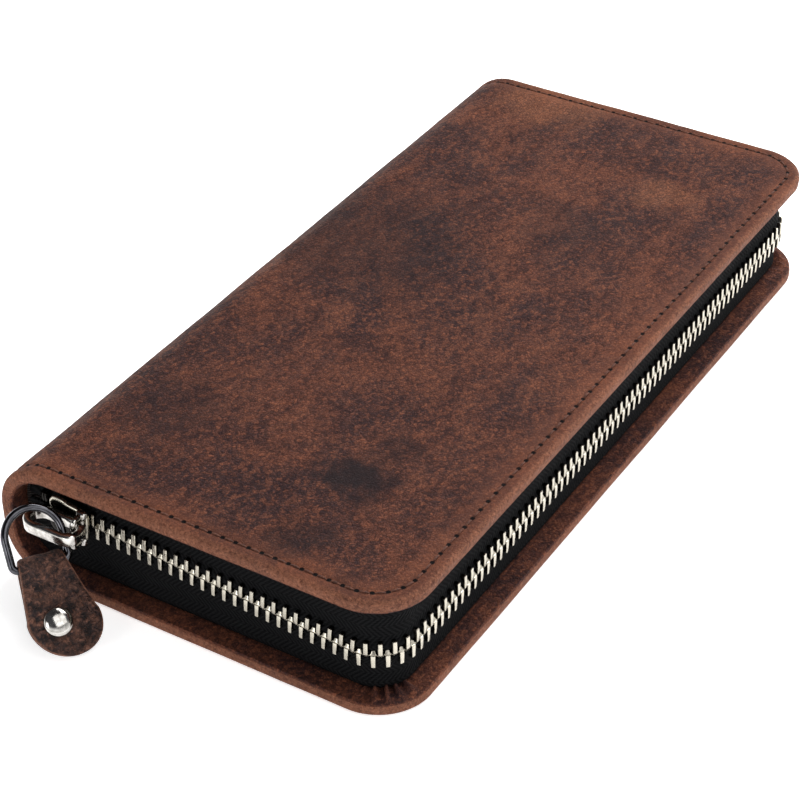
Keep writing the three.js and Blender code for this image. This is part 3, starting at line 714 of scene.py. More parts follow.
def outer_half(above):
    """The outer leather of one cover and half the spine, in one piece."""
    half = Shape()
    profile = edge_profile()
    for inset, depth in profile:
        line = edge_line(inset)
        for x, run, done in line:
            half.points.append(folded(x, run, leather_depth(x, run, depth, inset), above))
            half.uv.append((done, inset if depth < COVER_INSIDE - 0.1 else EDGE_BAND))
    half.faces += grid_faces(len(profile), len(line))
    for end in (0, len(line) - 1):
        half.faces.append(tuple(row * len(line) + end for row in range(len(profile))))
    inner = edge_line(EDGE_BAND)
    across = sorted({round(x, 6) for x, run, _ in inner if abs(run - EDGE_BAND) < 1e-6})
    down = sorted({round(run, 6) for _, run, _ in inner})
    spine_edges = []
    for depth in (0.0, OUTER_LEATHER):
        first = len(half.points)
        for run in down:
            for x in across:
                half.points.append(folded(x, run, leather_depth(x, run, depth, EDGE_BAND), above))
                half.uv.append((0.0, EDGE_BAND))
        half.faces += grid_faces(len(down), len(across), first)
        spine_edges.append(range(len(half.points) - len(across), len(half.points)))
    outside, inside = spine_edges
    half.faces += zip(outside, outside[1:], inside[1:], inside)
    return half.piece(f"{LEVELS[above]}_outer_leather", LEATHER, sharp_angle=50)


def bend_with_spine(piece, above):
    """Bakes the piece's placement into its points; it doesn't bend it."""
    if above:
        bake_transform(piece)
    else:
        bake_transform(piece)


def seam_point(done, depth, above):
    """A point on the seam line, a length along it from the spine's middle on the left."""
    side = -1
    if done > SEAM_LENGTH / 2:
        done, side = SEAM_LENGTH - done, 1
    if done <= SEAM_SIDE:
        x, run = HALF_LENGTH - SEAM_INSET, HALF_RUN - done
    elif done <= SEAM_SIDE + SEAM_ARC:
        angle = (done - SEAM_SIDE) / SEAM_RADIUS
        x = SEAM_FRONT + SEAM_RADIUS * math.cos(angle)
        run = CORNER_RADIUS - SEAM_RADIUS * math.sin(angle)
    else:
        x, run = SEAM_FRONT - (done - SEAM_SIDE - SEAM_ARC), SEAM_INSET
    return folded(side * x, run, depth, above)


# A stitch from hole to hole: length along the seam, depth in the leather and the thread's radius.
STITCH = [
    (-1.05, 0.8, 0.16), (-0.85, 0.34, 0.22), (-0.3, 0.2, 0.24),
    (0.3, 0.2, 0.24), (0.85, 0.34, 0.22), (1.05, 0.8, 0.16),
]
STITCH_TURN = 6.0  # how far the seam's stitches reach round the bend towards the spine


def seam_stitches(above):
    """One stitch between each two needle holes, with both of its ends pulled into them."""
    first = math.ceil((HALF_RUN - FLAT_RUN - STITCH_TURN) / SEAM_PITCH)
    count = int((SEAM_LENGTH - 2 * first * SEAM_PITCH) / SEAM_PITCH)
    thread = Shape()
    for i in range(count):
        middle = (first + i + 0.5) * SEAM_PITCH
        line = [seam_point(middle + along, depth, above) for along, depth, _ in STITCH]
        rings = wire_rings(line, 1.0, 6)
        for k, (_, _, thick) in enumerate(STITCH):
            rings[k] = (rings[k] - line[k]) * thick + line[k]
        thread.sweep(rings)
    return thread.piece(f"{LEVELS[above]}_seam_thread", THREAD)


def cover_lining(above):
    """Cloth inside one cover and its half of the spine, tucked under the turned edges."""
    inset = TURNED_EDGE + 0.2
    half = HALF_LENGTH - inset
    radius = CORNER_RADIUS - inset
    low, high = COVER_INSIDE - 0.45, COVER_INSIDE + 0.05
    rows = 66
    columns = 61
    sheet = Shape()
    for depth in (low, high):
        for i in range(rows):
            share = i / (rows - 1)
            run = inset + (HALF_RUN - inset) * share ** 1.15
            into = min(1.0, (run - inset) / radius)
            reach = half - radius * (1 - math.sqrt(max(0.0, 1 - (1 - into) ** 2)))
            for j in range(columns):
                x = reach * (2 * j / (columns - 1) - 1)
                puff = waves((x, run, 40), 16, 0.12) if depth == high else 0.0
                sheet.points.append(folded(x, run, depth + puff, above))
                sheet.uv.append((x, run))
    numbers = np.arange(rows * columns).reshape(rows, columns)
    sheet.faces += grid_faces(rows, columns) + grid_faces(rows, columns, numbers.size)
    for edge in (numbers[0], numbers[-1], numbers[:, 0], numbers[:, -1]):
        for a, b in zip(edge, edge[1:]):
            sheet.faces.append((a, b, b + numbers.size, a + numbers.size))
    piece = sheet.piece(f"{LEVELS[above]}_lining", LINING, sharp_angle=60)
    return piece


def build_covers():
    for above in (False, True):
        leather = outer_half(above)
        stitches = seam_stitches(above)
        cloth = cover_lining(above)
        for piece in (leather, stitches, cloth):
            bend_with_spine(piece, above)
        cover = COVERS[above]
        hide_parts(f"{cover}_leather", "spine_leather")
        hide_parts(f"{cover}_lining", "spine_lining")
        board = frame["nodes"][f"{cover}_board"]
        board.data.materials.clear()
        board.data.materials.append(BOARD)


# --- main zip ----------------------------------------------------------------------------------


def zip_path(s):
    """The zip's middle line in plan: x, y and the direction out of the wallet."""
    if s > ZIP_RUN / 2:
        x, y, out_x, out_y = zip_path(ZIP_RUN - s)
        return -x, y, -out_x, out_y
    if s <= SIDE_RUN:
        return -ZIP_X, TAPE_BACK - s, -1.0, 0.0
    if s < SIDE_RUN + CORNER_RUN:
        turn = (s - SIDE_RUN) / ZIP_RADIUS
        out_x, out_y = -math.cos(turn), -math.sin(turn)
        return -ZIP_X + ZIP_RADIUS + out_x * ZIP_RADIUS, CORNER_Y + out_y * ZIP_RADIUS, out_x, out_y
    return -ZIP_X + ZIP_RADIUS + s - SIDE_RUN - CORNER_RUN, CORNER_Y - ZIP_RADIUS, 0.0, -1.0


def chain_height(y):
    return CHAIN_FRONT_Z + max(0.0, y - CORNER_Y) * math.tan(CHAIN_SLOPE)


def floor_height(y):
    """Height of the bottom cover's inside, which curves up at the spine."""
    past = max(0.0, y - BEND_START)
    return BEND_RADIUS - math.sqrt((BEND_RADIUS - COVER_INSIDE) ** 2 - past**2)


def zip_frame(s):
    """Point on the chain's middle, and the directions along, outward and up."""
    x, y, out_x, out_y = zip_path(s)
    out = Vector((out_x, out_y, 0))
    along = Vector((-out_y, out_x, 0))
    if y > CORNER_Y:
        along.z = along.y * math.tan(CHAIN_SLOPE)
        along.normalize()
    return Vector((x, y, chain_height(y))), along, out, out.cross(along) * -1


def tape_piece(above):
    """One tape: a foot on the cover, a wall that leans in a little, and a corded edge."""
    steps = round(ZIP_RUN / 1.3)
    rows = 14
    rings, heights = [], []
    for i in range(steps + 1):
        s = ZIP_RUN * i / steps
        x, y, out_x, out_y = zip_path(s)
        low = floor_height(y) + 0.05
        middle = chain_height(y)
        height = (HEIGHT - middle if above else middle) - low - 0.75
        heights.append(height)
        centre = [tape_section(k / rows, height) for k in range(rows + 1)]
        section = [(mid + half, up) for mid, half, up in centre]
        section += [(mid - half, up) for mid, half, up in reversed(centre)]
        ring = []
        for off, up in section:
            off += waves((s, up, 70 + 10 * above), 14, 0.25) * math.sin(math.pi * up / height)
            z = low + up
            point = (x + out_x * off, y + out_y * off, HEIGHT - z if above else z)
            ring.append((point, (s, up)))
        rings.append(ring)
    piece = Shape().sweep_pairs(rings).piece(f"{LEVELS[above]}_tape", TAPE, sharp_angle=70)
    return piece


def tape_section(share, height):
    """Middle, half thickness and height of the tape, share of the way up from its cover."""
    up = height * share
    foot = max(0.0, 1 - up / 1.8)
    belly = -0.55 * math.sin(math.pi * share)
    cord = max(0.0, 1 - abs(height - 0.8 - up) / 0.8)
    half = 0.3 + 0.45 * math.sqrt(cord) + 0.25 * foot**2
    if share == 1.0:
        half = 0.25
    return -TAPE_FOOT * foot**2 + belly, half, up


# A tooth's sections from its feet on the tape to its nose in the other row:
# height from the chain's middle, half width along the chain, half depth through the tape.
TOOTH_SECTIONS = [
    (-2.95, 0.34, 0.9), (-2.88, 0.41, 1.05), (-1.6, 0.43, 1.12), (-0.12, 0.45, 1.12),
    (-0.02, 0.43, 1.06), (0.02, 0.7, 0.86), (0.08, 0.74, 0.9), (0.2, 0.72, 0.86),
    (0.28, 0.5, 0.76), (0.8, 0.38, 0.6), (0.9, 0.26, 0.45),
]


def teeth_row(above):
    """Every tooth of one row, each clamped on its tape's cord."""
    sign = -1 if above else 1
    first = TAPE_BACK - TEETH_LEFT + (TOOTH_PITCH / 2 if above else 0)
    last = ZIP_RUN - (TAPE_BACK - TEETH_RIGHT)
    row = Shape()
    for i in range(int((last - first) / TOOTH_PITCH) + 1):
        middle, along, out, up = zip_frame(first + i * TOOTH_PITCH)
        rings, high = [], []
        for height, half_along, half_out in TOOTH_SECTIONS:
            section = rounded_box(half_along, half_out, 0.3 * half_along, 2)
            rings.append(placed(section, middle + up * height * sign, along, out))
            # The flat map's second number is 1 or -1 on the faces out and in, which get the painted
            # highlight; the sides along the chain get painted shade.
            high.append([(height, across / half_out) for _, across in section])
        row.sweep(rings, uv=high)
    return row.piece(f"{LEVELS[above]}_teeth_row", PAINTED_LIGHT_NICKEL, sharp_angle=50)


def end_stop(name, node):
    """A clamp on the tape's edge, pinched in two grooves, where the frame puts it."""
    middle, half = middle_and_half(node)
    rings = []
    for i in range(13):
        share = i / 12
        pinch = 1 - 0.16 * max(0.0, math.sin(3 * 2 * math.pi * share - math.pi / 2))
        pinch *= 0.82 if i in (0, 12) else 1.0
        section = rounded_box(half.x * pinch, half.z * pinch, 0.3, 2)
        place = (middle.x, middle.y + half.y * (2 * share - 1), middle.z)
        rings.append(placed(section, place, (1, 0, 0), (0, 0, 1)))
    # With no flat map, the whole clamp takes the material's painted shade.
    return Shape().sweep(rings).piece(name, PAINTED_LIGHT_NICKEL, sharp_angle=50)


def build_zip():
    for above in (False, True):
        level, cover = LEVELS[above], COVERS[above]
        declare(tape_piece(above), cover, "zip_tape", f"{level}_zip_tape")
        declare(teeth_row(above), cover, "nickel", f"{level}_teeth")
        for side in ("left", "right"):
            node = f"{level}_stop_{side}"
            declare(end_stop(f"{level}_end_stop_{side}", node), cover, "nickel", node)


# --- slider, link, ring and tab ----------------------------------------------------------------

SLIDER_Y = 31.0
SLIDER_LENGTH = 9.6
SLIDER_FRONT_HALF = 3.9
SLIDER_BACK_HALF = 4.6
SLIDER_PLATE = 0.9
SLIDER_THROAT = 2.9
BAIL_WIRE = 1.2
BAIL_REACH = 3.4
LINK_RIM = 1.6
RING_RADIUS = 5.7
RING_WIRE = 1.6
RING_LEGS = 5.9
RING_CORNER = 1.2
RING_CENTRE = Vector((-101.6, 32.8, 19.25))
PULL_TURN = math.radians(-35.6)
PULL_LEAN = math.radians(46.2)
TAB_TOP = 3.0
TAB_TOP_HALF = 4.1
TAB_ROUND = 7.2
TAB_DROP = 11.7
TAB_SKEW = 0.125  # how far the tab drifts sideways for each millimetre below the bar
TAB_LAYER = 1.35
TAB_FOLD = 2.2  # outside radius of the fold round the ring's bar
RIVET_HEAD = 3.0

SLIDER_MIDDLE = Vector((-ZIP_X, SLIDER_Y, chain_height(SLIDER_Y)))
SLIDER_PLACE = Matrix.Translation(SLIDER_MIDDLE) @ Matrix.Rotation(CHAIN_SLOPE, 4, "X")
RING_PLACE = (
    Matrix.Translation(RING_CENTRE)
    @ Matrix.Rotation(PULL_TURN, 4, "Z")
    @ Matrix.Rotation(PULL_LEAN, 4, "X")
)
TAB_PLACE = RING_PLACE @ Matrix.Translation((0, -RING_LEGS, 0))


def in_place(shape, matrix):
    """The shape's points, moved from a piece's own axes into the frame."""
    shape.points = [tuple(matrix @ Vector(p)) for p in shape.points]
    return shape


def slider_outline(shrink):
    """A slider plate's outline in Y and Z: a shoulder at the back, a narrow mouth in front."""
    half = SLIDER_LENGTH / 2
    front, back = SLIDER_FRONT_HALF, SLIDER_BACK_HALF
    upper = [(-half, 0.0), (-half, front - 1.4), (0.45 - half, front - 0.45), (1.4 - half, front)]
    upper += [(0.0, front + 0.12), (half - 3.4, back - 0.1), (half - 2.2, back)]
    upper += [(half - 0.9, back - 0.35), (half - 0.15, back - 1.3), (half - 0.1, back - 2.2)]
    upper += [(half - 0.9, 1.2), (half - 1.2, 0.0)]
    lower = [(y, -z) for y, z in reversed(upper[1:-1])]
    return np.array(upper + lower) * (1 - shrink / half)


def slider_plate(shape, face, thickness):
    """A plate with rolled edges; face is the X of its inner side and thickness goes outward."""
    steps = [(0.0, 0.35), (0.0, 0.1), (0.15, 0.0), (0.6, 0.0), (0.85, 0.1), (1.0, 0.3), (1.06, 0.6)]
    steps += [(1.0, 0.85), (0.98, 1.3), (1.0, 2.2), (1.02, 3.6)]
    rings, high = [], []
    for share, shrink in steps:
        outline = slider_outline(shrink)
        rings.append([(face + thickness * share, y, z) for y, z in outline])
        for y, z in outline:
            # Painted highlight on the plate's upper edges and its one end edge; the rest of the
            # plate gets painted shade.
            painted_highlight = share > 0.1 and shrink < 0.8 and (z > 1.0 or y < 0.6 - SLIDER_LENGTH / 2)
            high.append((shrink, float(painted_highlight)))
    shape.sweep(rings, uv=high)


def slider_body():
    """Two plates on a wedge-shaped post, with lips that guide the two rows of teeth."""
    body = Shape()
    throat = SLIDER_THROAT / 2
    slider_plate(body, -throat, -SLIDER_PLATE)
    slider_plate(body, throat, SLIDER_PLATE)
    post = []
    for y, half in ((0.6, 0.25), (1.4, 0.9), (2.4, 1.15), (3.3, 1.1)):
        post.append([(x, y, z) for x, z in rounded_box(throat + 0.1, half, 0.2, 2)])
    body.sweep(post)
    half = SLIDER_LENGTH / 2
    widening = (SLIDER_BACK_HALF - SLIDER_FRONT_HALF) / SLIDER_LENGTH
    for face in (-1, 1):
        for edge in (-1, 1):
            lip = []
            for y in np.linspace(-half + 1.0, half - 2.2, 6):
                reach = SLIDER_FRONT_HALF + widening * (y + half)
                section = rounded_box(0.5, 0.36, 0.2, 2)
                centre = Vector((face * (throat - 0.35), y, edge * (reach - 0.45)))
                lip.append(placed(section, centre, (1, 0, 0), (0, 0, 1)))
            body.sweep(lip)
    # The post and the lips have no flat map, so they take the painted shade all over.
    return in_place(body, SLIDER_PLACE).piece("zip_slider_body", PAINTED_LIGHT_NICKEL, sharp_angle=40)


def slider_bail():
    """A hoop of wire whose bar stands off the slider's outer plate, above two cast feet."""
    low, high = extent("slider_bail")
    bar_y = (low.y + high.y) / 2 - SLIDER_Y
    bar_x = low.x + BAIL_WIRE / 2 + ZIP_X
    plate_x = -SLIDER_THROAT / 2 - SLIDER_PLATE
    bend = 0.9
    arm = [(plate_x + 0.1, BAIL_REACH), (plate_x - 0.8, BAIL_REACH)]
    arm += [(bar_x + bend - b, BAIL_REACH - bend + a) for a, b in arc(0, 90, 4, bend)]
    line = [(x, bar_y, -z) for x, z in arm] + [(x, bar_y, z) for x, z in reversed(arm)]
    bail = Shape().sweep(wire_rings(line, BAIL_WIRE / 2, 12))
    for end in (-1, 1):
        foot = []
        for share, half in ((0.0, 1.15), (0.35, 1.1), (0.8, 0.85), (1.0, 0.62)):
            section = rounded_box(half, half * 0.8, 0.3 * half, 3)
            centre = (plate_x + 0.1 - 1.1 * share, bar_y, end * BAIL_REACH)
            foot.append(placed(section, centre, (0, 1, 0), (0, 0, 1)))
        bail.sweep(foot)
    return in_place(bail, SLIDER_PLACE).piece("zip_slider_bail", POLISHED, sharp_angle=45)


def pull_link():
    """A cast oval link with a flat band round it and a small notch in its front end."""
    middle, half = middle_and_half("pull_link")
    radius = half.x - LINK_RIM / 2
    rings = []
    for end, start in ((half.y - half.x, 0), (half.x - half.y, 180)):
        for x, y in arc(start, start + 180, 18):
            out = Vector((x, y, 0))
            notch = 0.33 * max(0.0, -y - 0.86) / 0.14
            squared = 0.35 * (2 * x * y) ** 2 if y < 0 else 0.0
            section = rounded_box((LINK_RIM + squared) / 2, half.z - notch, 0.38, 3)
            centre = middle + Vector((0, end, 0)) + out * (radius + squared / 2)
            rings.append(placed(section, centre, out, (0, 0, 1)))
    return Shape().sweep(rings, closed=True).piece("oval_link", POLISHED, sharp_angle=45)


def pull_ring():
    """A D-shaped wire ring: a half circle over two legs and a straight bar."""
    corner = RING_RADIUS - RING_CORNER
    foot = RING_CORNER - RING_LEGS
    legs = [foot * i / 4 for i in range(1, 4)]
    line = arc(0, 180, 32, RING_RADIUS)
    line += [(-RING_RADIUS, y) for y in legs]
    line += [(x - corner, y + foot) for x, y in arc(180, 270, 8, RING_CORNER)]
    line += [(corner * (2 * i / 6 - 1), -RING_LEGS) for i in range(1, 6)]
    line += [(x + corner, y + foot) for x, y in arc(270, 360, 8, RING_CORNER)]
    line += [(RING_RADIUS, y) for y in reversed(legs)]
    rings = wire_rings([(x, y, 0) for x, y in line], RING_WIRE / 2, 16, closed=True)
    return in_place(Shape().sweep(rings, closed=True), RING_PLACE).piece("wire_ring", DARK_CHROME)


def tab_half(y):
    """The tab's half width at a height above the ring's bar."""
    lean = math.atan2(TAB_ROUND - TAB_TOP_HALF, TAB_TOP + TAB_DROP)
    join = -TAB_DROP + TAB_ROUND * math.sin(lean)
    if y >= join:
        return TAB_TOP_HALF + (TAB_TOP - y) * math.tan(lean)
    return math.sqrt(max(0.0, TAB_ROUND**2 - (y + TAB_DROP) ** 2))


def tab_path():
    """The middle of the tab's strip: up its back, round the ring's bar and down its front."""
    end = TAB_DROP + TAB_ROUND
    layer = TAB_LAYER / 2 + 0.03
    fold = TAB_FOLD - TAB_LAYER / 2
    down = [end * (1 - (1 - i / 34) ** 1.6) for i in range(35)]
    down = [d for d in down if d > 1.2]
    front = []
    for d in down:
        share = min(1.0, max(0.0, (d - 1.2) / 5.5))
        ease = share * share * (3 - 2 * share)
        front.append((-d, layer + (fold - layer) * (1 - ease)))
    front.append((-end + 0.012, layer))
    bend = [(y, z) for z, y in arc(180, 0, 12, fold)]
    back = [(y, -z) for y, z in reversed(front)]
    return back + bend + front


def tab_piece():
    """Two layers of leather folded over the ring's bar, with raw cut edges."""
    path = [Vector((0, y, z)) for y, z in tab_path()]
    rings = []
    for i, point in enumerate(path):
        before, after = path[max(0, i - 1)], path[min(len(path) - 1, i + 1)]
        along = (after - before).normalized()
        outward = Vector((1, 0, 0)).cross(along)
        half = max(0.05, tab_half(point.y))
        calm = 0.25 + 0.75 * max(0.0, min(1.0, (point.y + 11) / 8))
        ring = []
        for side in (1, -1):
            for j in range(17):
                across = side * (1 - 2 * j / 16)
                x = across * half
                thick = TAB_LAYER / 2
                if abs(across) == 1.0:
                    thick -= min(0.3, half * 0.4)
                crumple = waves((x, point.y, point.z * 2 + side), 2.6, 0.26) * calm
                place = point + outward * side * (thick + crumple * (1 - abs(across) ** 4))
                place.x = x + TAB_SKEW * max(0.0, -point.y)
                ring.append((place, (point.y, abs(across) if half > 0.5 else 1.0)))
        rings.append(ring)
    return in_place(Shape().sweep_pairs(rings), TAB_PLACE).piece("leather_tab", TAB, sharp_angle=60)


def rivet(name, face, profile):
    """A rivet's head, turned from radius and height; face is 1 in front of the tab, -1 behind."""
    rings = []
    for radius, height in profile:
        rings.append([(x, y, face * height) for x, y in circle(max(radius, 1e-3), 40)])
    place = TAB_PLACE @ Matrix.Translation((0, -TAB_DROP, 0))
    return in_place(Shape().sweep(rings), place).piece(name, POLISHED, sharp_angle=50)


def rivet_cap():
    face = TAB_LAYER + 0.05
    profile = [(0.0, face - 0.3), (RIVET_HEAD - 0.5, face - 0.25), (RIVET_HEAD - 0.12, face - 0.02)]
    profile += [(RIVET_HEAD, face + 0.16), (RIVET_HEAD - 0.06, face + 0.34)]
    crown = RIVET_HEAD * 0.975
    profile += [(crown * a, face + 0.4 + 1.15 * b) for a, b in arc(0, 90, 12)[1:]]
    return rivet("rivet_dome", 1, profile)


def rivet_back():
    face = TAB_LAYER + 0.05
    profile = [(0.0, 0.0), (1.1, 0.0), (1.1, face - 0.1), (2.2, face - 0.1), (2.5, face + 0.15)]
    profile += [(2.35, face + 0.5), (1.5, face + 0.62), (1.2, face + 0.4)]
    profile += [(0.8, face + 0.38), (0.0, face + 0.45)]
    return rivet("rivet_foot", -1, profile)


def build_pull():
    parts = (
        (slider_body, "slider_body", "zip_slider", "nickel"),
        (slider_bail, "slider_bail", "zip_slider", "nickel"),
        (pull_link, "pull_link", "link", "nickel"),
        (pull_ring, "pull_ring", "ring", "dark_chrome"),
        (tab_piece, "tab_leather", "tab", "tab_leather"),
        (rivet_cap, "tab_rivet_cap", "tab", "nickel"),
        (rivet_back, "tab_rivet_back", "tab", "nickel"),
    )
    for make, node, body, slot in parts:
        declare(make(), body, slot, node)


# --- inside ------------------------------------------------------------------------------------

SLOT_COUNT = 4
SLOT_STITCH_PITCH = 2.6
SLOT_STITCH = [(0.0, -0.3), (0.3, 0.05), (1.6, 0.05), (1.9, -0.3)]  # along it, and up
COIN_TAPE_SECTION = [  # back from the tape's front edge, and the share of its half thickness
    (0, 0.4), (0.2, 1), (1.2, 1), (1.5, 0.7), (1.9, 0.9), (7, 0.9), (8.4, 0.8), (8.5, 0.3),
]


def hump(distance, width):
    """A soft bell, 1 in the middle."""
    return math.exp(-((distance / width) ** 2))


def slot_sheet(level, tier):
    """A tier of card slots: thin leather with a rolled front edge and a sunk line behind it."""
    node = f"{level}_card_slot_{tier}"
    low, high = extent(node)
    middle, half = middle_and_half(node)
    upward = -1 if level == "upper" else 1
    lines = [0.0, 0.15, 0.45, 0.9, 1.4, 1.7, 2.0, 4.0, 8.0]
    lines += list(np.linspace(10.0, high.y - low.y, 9 + 2 * (SLOT_COUNT - tier)))
    columns = 57
    rings = []
    for back in lines:
        edge = math.sqrt(max(0.0, 1 - (1 - min(1.0, back / 0.45)) ** 2))
        groove = 0.14 * hump(back - 1.7, 0.25)
        swell = 0.1 * math.sin(math.pi * min(1.0, back / 30))
        ring = []
        for side in (1, -1):
            for j in range(columns):
                x = side * (1 - 2 * j / (columns - 1)) * high.x
                seam = 0.16 * hump(x, 1.2) + 0.1 * hump(high.x - abs(x), 1.5)
                relief = groove + seam - swell if side == upward else 0.0
                bow = 0.18 * math.sin(math.pi * abs(x) / high.x) * math.exp(-back / 7) * upward
                thick = half.z * (0.25 + 0.75 * edge) - relief
                ring.append(((x, low.y + back, middle.z + bow + side * thick), (x, back)))
        rings.append(ring)
    name = f"{level}_slot_leather_{tier}"
    return Shape().sweep_pairs(rings).piece(name, POCKET, sharp_angle=60)


def slot_stitches(level):
    """Stitches down the middle and down both sides of the card slots."""
    thread = Shape()
    upward = -1 if level == "upper" else 1

    def height_at(y):
        found = None
        for tier in range(1, SLOT_COUNT + 1):
            low, high = extent(f"{level}_card_slot_{tier}")
            if low.y + 0.4 < y:
                found = high.z if upward > 0 else low.z
        return found

    low, high = extent(f"{level}_card_slot_1")
    for x in (-high.x + 1.6, 0.0, high.x - 1.6):
        for i in range(int((high.y - low.y - 3) / SLOT_STITCH_PITCH)):
            y = low.y + 1.6 + i * SLOT_STITCH_PITCH
            z = height_at(y)
            if z is None or height_at(y + SLOT_STITCH[-1][0]) != z:
                continue
            line = [(x, y + along, z + upward * up) for along, up in SLOT_STITCH]
            thread.sweep(wire_rings(line, 0.2, 6))
    return thread.piece(f"{level}_slot_thread", THREAD)


def coin_bag():
    """A flat bag that swells a little in the middle and is pinched flat at its two end seams."""
    low, high = extent("coin_bag")
    wall = 0.7
    seam_half = 0.85
    half = (high.z - low.z) / 2
    depth = high.y - low.y
    columns = 85
    rings = []
    for j in range(columns):
        share = 2 * j / (columns - 1) - 1
        x = share * high.x
        pinch = min(1.0, (1 - abs(share)) * high.x / 5)
        open_half = seam_half + (half - seam_half) * math.sqrt(1 - (1 - pinch) ** 2)
        outside, inside = [], []
        for i in range(25):
            back = depth * i / 24
            past = max(0.0, (back - depth + open_half) / open_half)
            top = max(0.12, open_half * math.sqrt(max(0.0, 1 - past**2)))
            sag = waves((x, back, 90), 18, 0.35) * math.sin(math.pi * back / depth) * pinch
            outside.append((back, top - max(0.0, 0.35 + sag) if back > 2 else top))
            inner_top = max(0.04, top - wall) if i < 24 else 0.04
            inside.append((min(back, depth - wall), inner_top))
        loop = outside + [(b, -t) for b, t in reversed(outside)]
        loop += [(b, -t) for b, t in inside] + list(reversed(inside))
        ring = []
        for back, top in loop:
            flat = (x, back + (0 if top > 0 else 2 * depth))
            ring.append(((x, low.y + back, MIDDLE + top), flat))
        rings.append(ring)
    return Shape().sweep_pairs(rings).piece("coin_pocket", LINING, sharp_angle=70)


def coin_tape(level):
    """A narrow woven tape in the coin pocket's mouth."""
    node = f"coin_tape_{level}"
    low, high = extent(node)
    middle, half = middle_and_half(node)
    loop = [(back, half.z * share) for back, share in COIN_TAPE_SECTION]
    loop += [(back, -up) for back, up in reversed(loop)]
    rings = []
    for x in np.linspace(low.x, high.x, 90):
        ripple = waves((x, 0, 120), 9, 0.08)
        rings.append([((x, low.y + b, middle.z + t + ripple), (x, b)) for b, t in loop])
    return Shape().sweep_pairs(rings).piece(f"coin_zip_tape_{level}", TAPE, sharp_angle=70)


def coin_coil(level):
    """A wound nylon coil along its tape's front edge, round a straight core."""
    node = f"coin_coil_{level}"
    low, high = extent(node)
    middle, half = middle_and_half(node)
    wire = 0.24
    pitch = 1.3
    steps = 9
    line = []
    for i in range(int((high.x - low.x) / pitch) * steps):
        angle = 2 * math.pi * i / steps
        y = middle.y + (half.y - wire) * math.cos(angle)
        z = middle.z + (half.z - wire) * math.sin(angle)
        line.append((low.x + pitch * i / steps, y, z))
    core = [(x, middle.y, middle.z) for x in np.linspace(low.x, high.x - 1, 40)]
    coil = Shape().sweep(wire_rings(line, wire, 5)).sweep(wire_rings(core, 0.2, 6))
    return coil.piece(f"coin_zip_coil_{level}", NYLON)


def coin_slider():
    """A small moulded shell over the coils, with a hooked pin for its pull."""
    middle, half = middle_and_half("coin_slider")
    pin = hinge_point("coin_pull_swing")
    front = pin.y + 1.9
    wall = 0.4
    rings = []
    for share in np.linspace(-1, 1, 13):
        x = middle.x + half.x * share
        top = half.z * (1 - 0.1 * abs(share) ** 4)
        deep = 3.3 * (1 - 0.25 * max(0.0, share) ** 2)
        outer = [(deep, top), (0.5, top), (0.12, half.z * 0.85), (0.0, half.z * 0.6)]
        inner = [(0.7, half.z * 0.55), (0.75, top - wall), (deep, top - wall)]
        loop = outer + [(b, -t) for b, t in reversed(outer)]
        loop += [(b, -t) for b, t in reversed(inner)] + inner
        rings.append([(x, front + b, MIDDLE + t) for b, t in loop])
    shell = Shape().sweep(rings)
    hook = [(front + 0.3, half.z - 0.5), (front - 0.9, half.z - 0.45)]
    hook += [(pin.y + 0.3, half.z - 0.65), (pin.y, half.z - 1.0)]
    hook += [(y, -up) for y, up in reversed(hook)]
    shell.sweep(wire_rings([(middle.x, y, MIDDLE + up) for y, up in hook], 0.45, 10))
    return shell.piece("coin_slider_shell", POLISHED, sharp_angle=45)


def coin_pull():
    """A flat tongue with a waisted neck and an eye round the pin."""
    pin = hinge_point("coin_pull_swing")
    eye = []
    for x, y in arc(0, 345, 23):
        out = Vector((x, y, 0))
        section = rounded_box(0.34, 1.15, 0.18, 2)
        eye.append(placed(section, Vector((pin.x, pin.y, MIDDLE)) + out * 1.16, out, (0, 0, 1)))
    length = extent("coin_pull")[1].x - pin.x
    half_width = 1.8
    rings = []
    for share in (0.1, 0.16, 0.3, 0.5, 0.7, 0.85, 0.94, 0.985, 1.0):
        waist = 0.62 + 0.38 * min(1.0, max(0.0, (share - 0.1) / 0.4))
        end = math.sqrt(max(0.0, 1 - max(0.0, (share - 0.8) / 0.2) ** 2))
        width = max(0.15, half_width * waist * (0.25 + 0.75 * end))
        section = rounded_box(0.45 * (0.6 + 0.4 * end), width, 0.14, 2)
        rings.append(placed(section, (pin.x + length * share, pin.y, MIDDLE), (0, 1, 0), (0, 0, 1)))
    tongue = Shape().sweep(eye, closed=True).sweep(rings)
    return tongue.piece("coin_pull_tongue", POLISHED, sharp_angle=45)


def build_inside():
    for above in (False, True):
        level, cover = LEVELS[above], COVERS[above]
        for tier in range(1, SLOT_COUNT + 1):
            node = f"{level}_card_slot_{tier}"
            declare(slot_sheet(level, tier), cover, "pocket_leather", node)
        declare(slot_stitches(level), cover, "pocket_leather")
        declare(coin_tape(level), "spine", "zip_tape", f"coin_tape_{level}")
        declare(coin_coil(level), "spine", "coil_nylon", f"coin_coil_{level}")
    declare(coin_bag(), "spine", "lining_cloth", "coin_bag")
    declare(coin_slider(), "coin_zip_slider", "nickel", "coin_slider")
    declare(coin_pull(), "coin_zip_pull", "nickel", "coin_pull")


# --- floor, light and camera -------------------------------------------------------------------


FLOOR_HALF = 3000.0
FLOOR_STEPS = 24
FLOOR_GAP = 0.05


def build_floor():
    """A wide flat sheet of white paper, a hair under the wallet."""
    places = np.linspace(-FLOOR_HALF, FLOOR_HALF, FLOOR_STEPS + 1)
    points = [(x, y, -FLOOR_GAP) for x in places for y in places]
    faces = grid_faces(len(places), len(places))
    make_piece("paper", points, faces, paper_floor())


